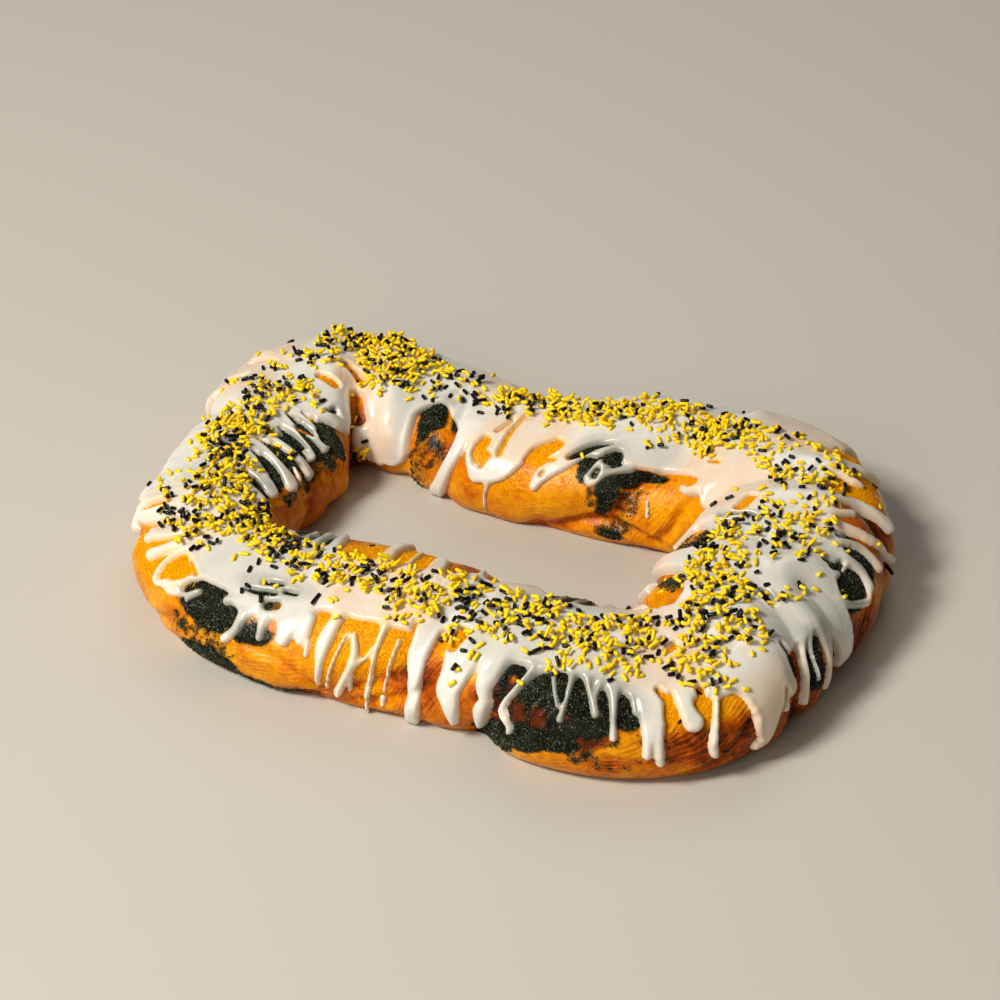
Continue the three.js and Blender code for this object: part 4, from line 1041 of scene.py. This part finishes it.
def linear(hex_colour):
    """sRGB hex to linear red, green and blue."""
    value = np.array([int(hex_colour[i:i + 2], 16) / 255 for i in (1, 3, 5)])
    return np.where(value <= 0.04045, value / 12.92, ((value + 0.055) / 1.055) ** 2.4)


ICING_WHITE = linear("#e4e3dd")
ICING_GREY = linear("#cfd0c9")
ICING_PEACH = linear("#e6c8a8")
ICING_YELLOW = linear("#f2cf7a")
ICING_DARK = linear("#a3a59c")
# Dark grey for smudged black sugar and for painted shade in the icing's hollows
ICING_SMEAR_AND_SHADE = linear("#5d615a")


def icing_tint(station, across, plain, inside):
    """White where thick, grey over dark sugar, peach where the dough shows through, and dark where black
    sugar is smudged in, with painted shade in its hollows.
    """
    # Dark patches: partly smudged black sugar, partly painted shade in the hollows of the icing
    smear_and_shade = patch_field(station, across, SMEARED_AND_SHADED_ICING) * (0.7 + 0.5 * soft_noise(plain, 5, 63))
    grey = patch_field(station, across, GREY_ICING) * (0.75 + 0.25 * soft_noise(plain, 12, 61))
    peach = patch_field(station, across, PEACH_ICING) * (0.55 + 0.25 * soft_noise(plain, 10, 62))
    over_black = patch_field(station, across, BLACK_SUGAR)
    thin = np.clip(1 - inside / 2.6, 0, 1) * 0.5
    dark = over_black * (0.35 + thin)
    yellow = patch_field(station, across, YELLOW_SUGAR) * (0.06 + 0.7 * thin)
    tint = np.tile(ICING_WHITE, (len(plain), 1))
    for share, colour in (
        (grey, ICING_GREY), (peach, ICING_PEACH), (thin * (1 - over_black), ICING_PEACH),
        (yellow, ICING_YELLOW), (dark, ICING_DARK), (smear_and_shade, ICING_SMEAR_AND_SHADE),
    ):
        share = np.clip(share, 0, 1)[:, None]
        tint = tint * (1 - share) + colour * share
    return tint


def joined_copies(template, places, turns, sizes):
    """One mesh with a copy of the template at each place, turned and sized."""
    mould = vertex_places(template)
    faces = [tuple(polygon.vertices) for polygon in template.polygons]
    corners = len(mould)
    scaled = mould[None] * sizes[:, None, :]
    points = np.einsum("nij,nkj->nki", turns, scaled) + places[:, None, :]
    mesh = bpy.data.meshes.new("copies")
    all_faces = [tuple(i + corners * n for i in face) for n in range(len(places)) for face in faces]
    mesh.from_pydata(points.reshape(-1, 3) * MM, [], all_faces)
    return mesh, corners


def rod_template():
    """A sugar rod of length 1 and radius 1 along x, with rounded ends and six sides."""
    bm = bmesh.new()
    bmesh.ops.create_circle(bm, cap_ends=True, radius=ROD_END_RADIUS, segments=ROD_SIDES)
    bmesh.ops.rotate(bm, verts=bm.verts, matrix=Matrix.Rotation(pi / 2, 3, "Y"))
    bmesh.ops.translate(bm, vec=(-0.5, 0, 0), verts=bm.verts)
    first_cap = bm.faces[:]
    end = first_cap
    for shift, swell in ROD_STEPS:
        made = bmesh.ops.extrude_face_region(bm, geom=end)
        verts = [item for item in made["geom"] if isinstance(item, bmesh.types.BMVert)]
        if end != first_cap:
            bmesh.ops.delete(bm, geom=end, context="FACES_ONLY")
        end = [item for item in made["geom"] if isinstance(item, bmesh.types.BMFace)]
        bmesh.ops.translate(bm, vec=(shift, 0, 0), verts=verts)
        bmesh.ops.scale(bm, vec=(1, swell, swell), verts=verts)
    bmesh.ops.recalc_face_normals(bm, faces=bm.faces)
    return made_mesh(bm, "rod")


def crystal_template():
    """A sugar crystal of eight faces and radius 1."""
    bm = bmesh.new()
    bmesh.ops.create_cone(bm, segments=4, radius1=1, radius2=0, depth=1)
    bmesh.ops.translate(bm, vec=(0, 0, 0.5), verts=bm.verts)
    made = bmesh.ops.create_cone(bm, segments=4, radius1=0, radius2=1, depth=1)
    bmesh.ops.translate(bm, vec=(0, 0, -0.5), verts=made["verts"])
    bmesh.ops.remove_doubles(bm, verts=bm.verts, dist=0.001)
    bmesh.ops.recalc_face_normals(bm, faces=bm.faces)
    return made_mesh(bm, "crystal")


def frames_on(normal, heading):
    """Turns whose x lies along a heading in the surface and whose z stands on it."""
    flat = heading - normal * (heading * normal).sum(axis=1)[:, None]
    x = flat / np.linalg.norm(flat, axis=1)[:, None]
    y = np.cross(normal, x)
    return np.stack([x, y, normal], axis=2)


def random_turns(draw, count):
    """Any turn at all, one for each copy."""
    q = draw.normal(size=(count, 4))
    w, x, y, z = (q / np.linalg.norm(q, axis=1)[:, None]).T
    rows = [
        [1 - 2 * (y * y + z * z), 2 * (x * y - z * w), 2 * (x * z + y * w)],
        [2 * (x * y + z * w), 1 - 2 * (x * x + z * z), 2 * (y * z - x * w)],
        [2 * (x * z - y * w), 2 * (y * z + x * w), 1 - 2 * (x * x + y * y)],
    ]
    return np.moveaxis(np.array(rows), 2, 0)


def sprinkle_places(draw):
    """Station, across and colour of each sprinkle, drift by drift."""
    made = []
    for middle, row, half_along, half_down, layers, black in SPRINKLE_DRIFTS:
        area = 4 * half_along * STATION_SPAN * half_down * ACROSS_SPAN * OVAL_SHARE
        count = int(layers * area / SPRINKLE_FOOTPRINT)
        clumps = max(3, count // CLUMP_SIZE)
        heart = draw.uniform(-1, 1, (clumps, 2))
        heart_black = np.clip(black + draw.normal(0, 0.22, clumps), 0, 1)
        own = draw.integers(0, clumps, count)
        scatter = draw.normal(0, CLUMP_SPREAD, (count, 2))
        scatter /= (half_along * STATION_SPAN, half_down * ACROSS_SPAN)
        is_loose = draw.random(count)[:, None] < LOOSE_SHARE
        loose = draw.uniform(-LOOSE_SPREAD, LOOSE_SPREAD, (count, 2))
        spread = np.where(is_loose, loose, heart[own] + scatter)
        is_black = draw.random(count) < BLACK_SHARE * np.where(is_loose[:, 0], black, heart_black[own])
        place = (middle, row) + spread * (half_along, half_down)
        made.append(np.column_stack([place, is_black]))
    station = draw.uniform(0, STATIONS, STRAYS)
    across = draw.normal(*STRAY_ACROSS, STRAYS)
    made.append(np.column_stack([station, across, draw.random(STRAYS) < STRAY_BLACK_SHARE]))
    return np.concatenate(made)


def resting_layer(beads, start, run, layer):
    """The layer a rod comes to rest in: one above the highest rod that its beads touch."""
    if not len(layer):
        return 0
    gap = beads[:, None] - start
    t = np.clip((gap * run).sum(axis=2) / (run**2).sum(axis=1), 0, 1)
    away = np.linalg.norm(gap - t[:, :, None] * run, axis=2).min(axis=0)
    under = layer[away < TOUCHING]
    return under.max() + 1 if len(under) else 0


def settle(points, turns_tried, lengths):
    """Drops the rods one by one: each takes the turn that lets it lie lowest on those before it."""
    count = len(points)
    layer = np.zeros(count)
    chosen = np.zeros(count, int)
    axis = turns_tried[:, :, :, 0]
    ends = np.zeros((count, 2, 3))
    along_rod = np.linspace(-0.5, 0.5, 5)
    for i in range(count):
        near = np.nonzero(((points[:i] - points[i]) ** 2).sum(axis=1) < NEIGHBOUR_REACH**2)[0]
        near = near[layer[near] <= HIGHEST_LAYER]
        start = ends[near, 0]
        run = ends[near, 1] - start
        tried = [points[i] + way * lengths[i] * along_rod[:, None] for way in axis[i]]
        rests = [resting_layer(beads, start, run, layer[near]) for beads in tried]
        layer[i] = min(rests)
        chosen[i] = rests.index(layer[i])
        half = axis[i, chosen[i]] * lengths[i] / 2
        ends[i] = points[i] - half, points[i] + half
    return layer, chosen


def rod_lengths(draw, count):
    """Mostly short rods, and a few long ones."""
    low, high = SPRINKLE_LENGTHS
    length = low + (high - low) * draw.beta(1.6, 2.4, count)
    return np.where(draw.random(count) < LONG_SHARE, draw.uniform(*LONG_RODS, count), length)


def rod_slopes(draw, layer):
    """How far each rod tips up, in radians: more in the upper layers, and a few rods stand."""
    slope = draw.normal(0, 0.1 + 0.18 * np.minimum(layer, 2), len(layer))
    stands = (layer == 0) & (draw.random(len(layer)) < STANDING_SHARE)
    return np.where(stands, draw.uniform(*STANDING_SLOPE, len(layer)), slope)


def tilts(slope):
    """Turns that raise a rod's end by a slope in radians."""
    c, s, zero, one = np.cos(slope), np.sin(slope), np.zeros(len(slope)), np.ones(len(slope))
    rows = [[c, zero, -s], [zero, one, zero], [s, zero, c]]
    return np.moveaxis(np.array(rows), 2, 0)


def laid_rods(draw, station, across):
    """Middle, turn and size of each rod as it lies on the icing, and which rods stay there."""
    point, normal, _, inside = icing_surface(station, across)
    count = len(station)
    length = rod_lengths(draw, count)
    tried = [frames_on(normal, draw.normal(size=(count, 3))) for _ in range(TURNS_TRIED)]
    tried = np.stack(tried, axis=1)
    layer, chosen = settle(point, tried, length)
    slope = rod_slopes(draw, layer)
    turns = tried[np.arange(count), chosen] @ tilts(slope)
    radius = SPRINKLE_RADIUS * draw.uniform(0.92, 1.06, count)
    lift = 0.7 * radius + layer * LAYER_RISE + np.abs(np.sin(slope)) * length * 0.36
    centre = point + normal * lift[:, None]
    top = centre[:, 2] + radius + np.abs(turns[:, 2, 0]) * length / 2
    is_kept = (top < TOP_LIMIT) & (layer <= HIGHEST_LAYER)
    is_kept &= (inside > 0) | (draw.random(count) < KEPT_OFF_ICING)
    is_kept &= centre[:, 2] > LOWEST_SPRINKLE
    return centre, turns, np.column_stack([length, radius, radius]), is_kept


def sprinkles():
    """Yellow and black sugar rods, piled in drifts along the crest."""
    draw = np.random.default_rng(7)
    places = sprinkle_places(draw)
    draw.shuffle(places)
    centre, turns, sizes, is_kept = laid_rods(draw, places[:, 0], places[:, 1])
    shade = draw.random(len(places))
    template = rod_template()
    for name, is_black, material in (
        ("sprinkles_yellow", 0, yellow_sugar_rod()), ("sprinkles_black", 1, black_sugar_rod()),
    ):
        own = is_kept & (places[:, 2] == is_black)
        mesh, corners = joined_copies(template, centre[own], turns[own], sizes[own])
        add_number(mesh, "shade", np.repeat(shade[own], corners))
        new_piece(name, mesh, material, "icing")


def sticking_places(draw, tries, patches, seed):
    """Station and across of the grains that fall on sugared dough which no icing covers."""
    near = tries[:, patch_field(*tries, patches) > 0.02]
    full = sugar_on(*near, dome_point(*near), patches, seed)
    near = near[:, draw.random(len(full)) < full]
    inside, _ = icing_cover(*near, dome_point(*near))
    return near[:, inside < -CLEAR_OF_ICING]


def sugar_grains():
    """Grains of sanding sugar that stick to the dough wherever no icing covers it."""
    draw = np.random.default_rng(11)
    station = draw.uniform(0, STATIONS, GRAIN_TRIES)
    across = draw.uniform(-GRAINS_TO, GRAINS_TO, GRAIN_TRIES)
    tries = np.array([station, across])
    template = crystal_template()
    for name, patches, seed, material, radius in (
        ("sugar_black", BLACK_SUGAR, BLACK_SEED, black_sanding_sugar(), BLACK_GRAIN_RADIUS),
        ("sugar_yellow", YELLOW_SUGAR, YELLOW_SEED, yellow_sanding_sugar(), YELLOW_GRAIN_RADIUS),
    ):
        point, normal, _, _ = ring_surface(*sticking_places(draw, tries, patches, seed))
        count = len(point)
        size = radius * draw.uniform(*GRAIN_SIZES, (count, 1)) * (1, 1, GRAIN_FLATNESS)
        centre = point + normal * (0.25 * radius + draw.uniform(-0.1, 0.35, count))[:, None]
        centre[:, 2] = np.maximum(centre[:, 2], LOWEST_GRAIN)
        mesh, corners = joined_copies(template, centre, random_turns(draw, count), size)
        add_number(mesh, "shade", np.repeat(draw.random(count), corners))
        new_piece(name, mesh, material, "dough").data.shade_flat()


# ---- Materials ----


def add_node(tree, kind, inputs=None, **settings):
    """A node with its settings, its constant inputs and its links."""
    node = tree.nodes.new(kind)
    for key, value in settings.items():
        setattr(node, key, value)
    for key, value in (inputs or {}).items():
        if isinstance(value, bpy.types.NodeSocket):
            tree.links.new(value, node.inputs[key])
        else:
            node.inputs[key].default_value = value
    return node


def new_material(name):
    """A new material, its node tree and its surface."""
    material = bpy.data.materials.new(name)
    material.use_nodes = True
    tree = material.node_tree
    return material, tree, tree.nodes["Principled BSDF"]


def rgba(hex_colour):
    """sRGB hex to a linear colour with full alpha."""
    return (*linear(hex_colour), 1)


def ramp(tree, factor, *stops):
    """A colour ramp through (place, hex) stops."""
    node = add_node(tree, "ShaderNodeValToRGB", {"Fac": factor})
    while len(node.color_ramp.elements) < len(stops):
        node.color_ramp.elements.new(0.5)
    for element, (place, colour) in zip(node.color_ramp.elements, stops):
        element.position = place
        element.color = rgba(colour)
    return node.outputs["Color"]


def mixed(tree, factor, a, b, blend="MIX"):
    """Two colours mixed, each a socket or a hex colour."""
    node = add_node(tree, "ShaderNodeMix", {"Factor": factor}, data_type="RGBA", blend_type=blend)
    for socket, value in ((node.inputs[6], a), (node.inputs[7], b)):
        if isinstance(value, bpy.types.NodeSocket):
            tree.links.new(value, socket)
        else:
            socket.default_value = rgba(value)
    return node.outputs[2]


def maths(tree, operation, a, b=0.0, c=0.0, clamp=False):
    """One step of arithmetic on up to three numbers or sockets."""
    return add_node(
        tree, "ShaderNodeMath", {0: a, 1: b, 2: c}, operation=operation, use_clamp=clamp
    ).outputs[0]


def noise(tree, vector, size_mm, detail=3.0, rough=0.5):
    """Noise whose lumps are about a size in millimetres."""
    return add_node(
        tree, "ShaderNodeTexNoise",
        {"Vector": vector, "Scale": 1 / (size_mm * MM), "Detail": detail, "Roughness": rough},
    ).outputs["Fac"]


def number_of(tree, name):
    """A named number that the mesh carries."""
    return add_node(tree, "ShaderNodeAttribute", attribute_name=name).outputs["Fac"]


def object_place(tree):
    """The place on the object, in metres."""
    return add_node(tree, "ShaderNodeTexCoord").outputs["Object"]


# Crust from golden, 0, by amber to red-brown, 1
CRUST_TONES = ((0.0, "#eaac18"), (0.22, "#df960e"), (0.45, "#ce7808"), (0.7, "#ae5205"), (1.0, "#562608"))
BURNT_SPECK = "#7c3206"
GOLD_SUGARED_CRUST = "#eaa604"
BLACK_SUGARED_CRUST = "#131810"
GRAIN_HEADING = radians(-38)


def browned(tree, place, streaks, blotches, valley_shade):
    """How brown the crust is: its baking and three sizes of mottling, with painted shade in its creases and
    wrinkle valleys.
    """
    cloud = noise(tree, place, 16, 3)
    browning = maths(tree, "ADD", number_of(tree, "bake"), maths(tree, "MULTIPLY_ADD", cloud, 0.5, -0.25))
    # Painted shade: darker where the folds and creases sink in
    browning = maths(tree, "MULTIPLY_ADD", number_of(tree, "crease"), 0.25, browning)
    browning = maths(tree, "ADD", browning, maths(tree, "MULTIPLY_ADD", streaks, 0.24, -0.12))
    browning = maths(tree, "ADD", browning, maths(tree, "MULTIPLY_ADD", blotches, 0.9, -0.45))
    # Painted shade in the wrinkle valleys
    return maths(tree, "MULTIPLY_ADD", valley_shade, 0.28, browning, clamp=True)


def pulled_grain(tree):
    """A fine grain drawn out along the strands of dough."""
    strand = add_node(
        tree, "ShaderNodeCombineXYZ",
        {"X": number_of(tree, "strand_along"), "Y": number_of(tree, "strand_down"), "Z": 0.0},
    ).outputs[0]
    pulled = add_node(
        tree, "ShaderNodeMapping",
        {"Vector": strand, "Rotation": (0, 0, GRAIN_HEADING), "Scale": (0.16, 1.0, 1.0)},
    ).outputs[0]
    return noise(tree, pulled, 1.6, 4, 0.55)


def egg_washed_crust():
    """Sweet yeast dough baked under egg wash: a glossy golden skin with painted shade darkening it to
    red in its folds, and a fine grain pulled out along the strands."""
    material, tree, skin = new_material("egg_washed_crust")
    place = object_place(tree)
    black = number_of(tree, "black_sugar")
    yellow = number_of(tree, "yellow_sugar")
    streaks = pulled_grain(tree)
    fine = noise(tree, place, 1.3, 3)
    blotches = noise(tree, place, 4.5, 5, 0.62)
    turned = maths(tree, "MULTIPLY", number_of(tree, "wrinkle_phase"), 2 * pi)
    ridge = maths(tree, "MULTIPLY_ADD", maths(tree, "COSINE", turned), 0.5, 0.5)
    wrinkled = maths(tree, "MULTIPLY", ridge, number_of(tree, "wrinkle_depth"))
    # Wrinkle valleys, painted darker as shade
    valley_shade = maths(tree, "SUBTRACT", number_of(tree, "wrinkle_depth"), wrinkled)
    crust = ramp(tree, browned(tree, place, streaks, blotches, valley_shade), *CRUST_TONES)
    speckle = maths(tree, "GREATER_THAN", noise(tree, place, 1.4, 1, 0.4), 0.7)
    crust = mixed(tree, maths(tree, "MULTIPLY", speckle, 0.4), crust, BURNT_SPECK)
    crust = mixed(tree, maths(tree, "MULTIPLY", yellow, 0.88), crust, GOLD_SUGARED_CRUST)
    sugared = maths(tree, "MULTIPLY", maths(tree, "SMOOTH_MIN", black, 0.5, 0.2), 2.1, clamp=True)
    crust = mixed(tree, sugared, crust, BLACK_SUGARED_CRUST)
    tree.links.new(crust, skin.inputs["Base Color"])
    tree.links.new(maths(tree, "MULTIPLY_ADD", fine, 0.32, 0.08), skin.inputs["Roughness"])
    skin.inputs["IOR"].default_value = 1.4
    tree.links.new(maths(tree, "MULTIPLY_ADD", yellow, -0.22, 0.3), skin.inputs["Specular IOR Level"])
    skin.inputs["Subsurface Weight"].default_value = 0.1
    skin.inputs["Subsurface Radius"].default_value = (0.004, 0.0014, 0.0004)
    skin.inputs["Subsurface Scale"].default_value = 0.5
    relief = maths(tree, "MULTIPLY_ADD", streaks, 0.3, maths(tree, "MULTIPLY", fine, 0.35))
    relief = maths(tree, "MULTIPLY_ADD", blotches, 0.7, relief)
    relief = maths(tree, "MULTIPLY_ADD", wrinkled, 1.6, relief)
    bump = add_node(tree, "ShaderNodeBump", {"Height": relief, "Strength": 0.8, "Distance": 0.0008})
    tree.links.new(bump.outputs[0], skin.inputs["Normal"])
    return material


def poured_icing():
    """Sugar glaze poured and set: smooth, slightly see-through, with broad soft highlights."""
    material, tree, skin = new_material("poured_sugar_icing")
    place = object_place(tree)
    tint = add_node(tree, "ShaderNodeAttribute", attribute_name="tint").outputs["Color"]
    cloud = noise(tree, place, 14, 2)
    base = mixed(tree, maths(tree, "MULTIPLY", cloud, 0.25), tint, "#d9cfc0", "MULTIPLY")
    tree.links.new(base, skin.inputs["Base Color"])
    patchy = noise(tree, place, 9, 2)
    tree.links.new(maths(tree, "MULTIPLY_ADD", patchy, 0.2, 0.14), skin.inputs["Roughness"])
    skin.inputs["IOR"].default_value = 1.47
    skin.inputs["Subsurface Weight"].default_value = 0.3
    skin.inputs["Subsurface Radius"].default_value = (0.003, 0.0022, 0.0014)
    skin.inputs["Subsurface Scale"].default_value = 0.5
    return material


def sugar_finish(name, dark, light, painted_glint, rough, shine=0.35):
    """Coloured sugar whose pieces differ a little in shade, a few of them painted pale as a glint."""
    material, tree, skin = new_material(name)
    shade = number_of(tree, "shade")
    grain = noise(tree, object_place(tree), 2.2, 2)
    lightness = maths(tree, "MULTIPLY_ADD", grain, 0.4, maths(tree, "MULTIPLY", shade, 0.6))
    colour = mixed(tree, lightness, dark, light)
    # A few pieces get a pale colour: a painted glint of light
    if painted_glint:
        colour = mixed(tree, maths(tree, "GREATER_THAN", shade, 0.93), colour, painted_glint)
    tree.links.new(colour, skin.inputs["Base Color"])
    skin.inputs["Roughness"].default_value = rough
    skin.inputs["IOR"].default_value = 1.54
    skin.inputs["Specular IOR Level"].default_value = shine
    return material


def black_sanding_sugar():
    """Coarse black sanding sugar: dark green-black crystals, a few of which carry a painted grey-green
    glint.
    """
    return sugar_finish("black_sanding_sugar", "#12160e", "#454b36", "#777a5e", 0.42)


def yellow_sanding_sugar():
    """Coarse golden sanding sugar, half melted into the crust, a few grains with a painted pale gold glint.
    """
    return sugar_finish("yellow_sanding_sugar", "#e09404", "#f5b80a", "#ffd030", 0.4, 0.12)


def yellow_sugar_rod():
    """Extruded sugar paste with a confectioner's glaze: even lemon yellow with a waxy shine."""
    return sugar_finish("yellow_sugar_rod", "#f2cc0e", "#fbe024", None, 0.45)


def black_sugar_rod():
    """Extruded sugar paste with a confectioner's glaze: black with a purple cast."""
    return sugar_finish("black_sugar_rod", "#070408", "#120c12", None, 0.36)


# ---- Studio ----

CAMERA_PLACE = (0.45516, -1.19620, 0.93182)
CAMERA_HEADING = radians(20.85)
CAMERA_HEIGHT_ANGLE = radians(34.5)
CAMERA_ROLL = radians(1.03)
CAMERA_LENS = 95.325
CAMERA_SENSOR = 36
LIGHTS_AIM = (0, 0, 0.03)
FLOOR_SIZE = 4
FLOOR_DROP = 0.0004


def camera():
    """A long lens that looks down on the cake from the front, a little from the right."""
    back = Vector((
        sin(CAMERA_HEADING) * cos(CAMERA_HEIGHT_ANGLE),
        -cos(CAMERA_HEADING) * cos(CAMERA_HEIGHT_ANGLE),
        sin(CAMERA_HEIGHT_ANGLE),
    ))
    level = Vector((cos(CAMERA_HEADING), sin(CAMERA_HEADING), 0))
    rise = back.cross(level)
    right = level * cos(CAMERA_ROLL) + rise * sin(CAMERA_ROLL)
    up = rise * cos(CAMERA_ROLL) - level * sin(CAMERA_ROLL)
    turn = Matrix((right, up, back)).transposed()
    lens = bpy.data.cameras.new("camera")
    lens.lens = CAMERA_LENS
    lens.sensor_width = CAMERA_SENSOR
    view = bpy.data.objects.new("camera", lens)
    view.matrix_world = Matrix.Translation(CAMERA_PLACE) @ turn.to_4x4()
    bpy.context.collection.objects.link(view)
    bpy.context.scene.camera = view


def soft_light(name, place, size, power, colour):
    """A square soft lamp that faces the cake."""
    lamp = bpy.data.lights.new(name, "AREA")
    lamp.size = size
    lamp.energy = power
    lamp.color = linear(colour)
    holder = bpy.data.objects.new(name, lamp)
    aim = Vector(LIGHTS_AIM) - Vector(place)
    holder.matrix_world = Matrix.Translation(place) @ aim.to_track_quat("-Z", "Y").to_matrix().to_4x4()
    bpy.context.collection.objects.link(holder)


def pale_floor():
    """A plain floor of matte card: even, pale and warm grey."""
    bm = bmesh.new()
    bmesh.ops.create_grid(bm, x_segments=1, y_segments=1, size=FLOOR_SIZE)
    bmesh.ops.translate(bm, vec=(0, 0, -FLOOR_DROP), verts=bm.verts)
    mesh = made_mesh(bm, "floor")
    material, _, skin = new_material("matte_card")
    skin.inputs["Base Color"].default_value = rgba("#c6c3ba")
    skin.inputs["Roughness"].default_value = 0.7
    mesh.materials.append(material)
    floor = bpy.data.objects.new("floor", mesh)
    bpy.context.collection.objects.link(floor)


def studio():
    """The camera, the floor, three soft lamps and a dim even sky."""
    camera()
    pale_floor()
    soft_light("key", (-1.35, -1.75, 2.4), 0.85, 91, "#fff9f1")
    soft_light("fill", (-0.3, -3.0, 1.3), 1.6, 25, "#fff7ec")
    soft_light("back", (-0.3, 2.2, 2.2), 1.6, 14, "#fffaf4")
    world = bpy.data.worlds.new("studio")
    world.use_nodes = True
    world.node_tree.nodes["Background"].inputs["Color"].default_value = rgba("#efebe2")
    world.node_tree.nodes["Background"].inputs["Strength"].default_value = 0.13
    bpy.context.scene.world = world
    bpy.context.scene.view_settings.view_transform = "Standard"
    bpy.context.scene.view_settings.look = "Medium High Contrast"


dough_ring()
icing_material = poured_icing()
for part in range(ICING_PARTS):
    icing_part(part, icing_material)
sprinkles()
sugar_grains()
studio()
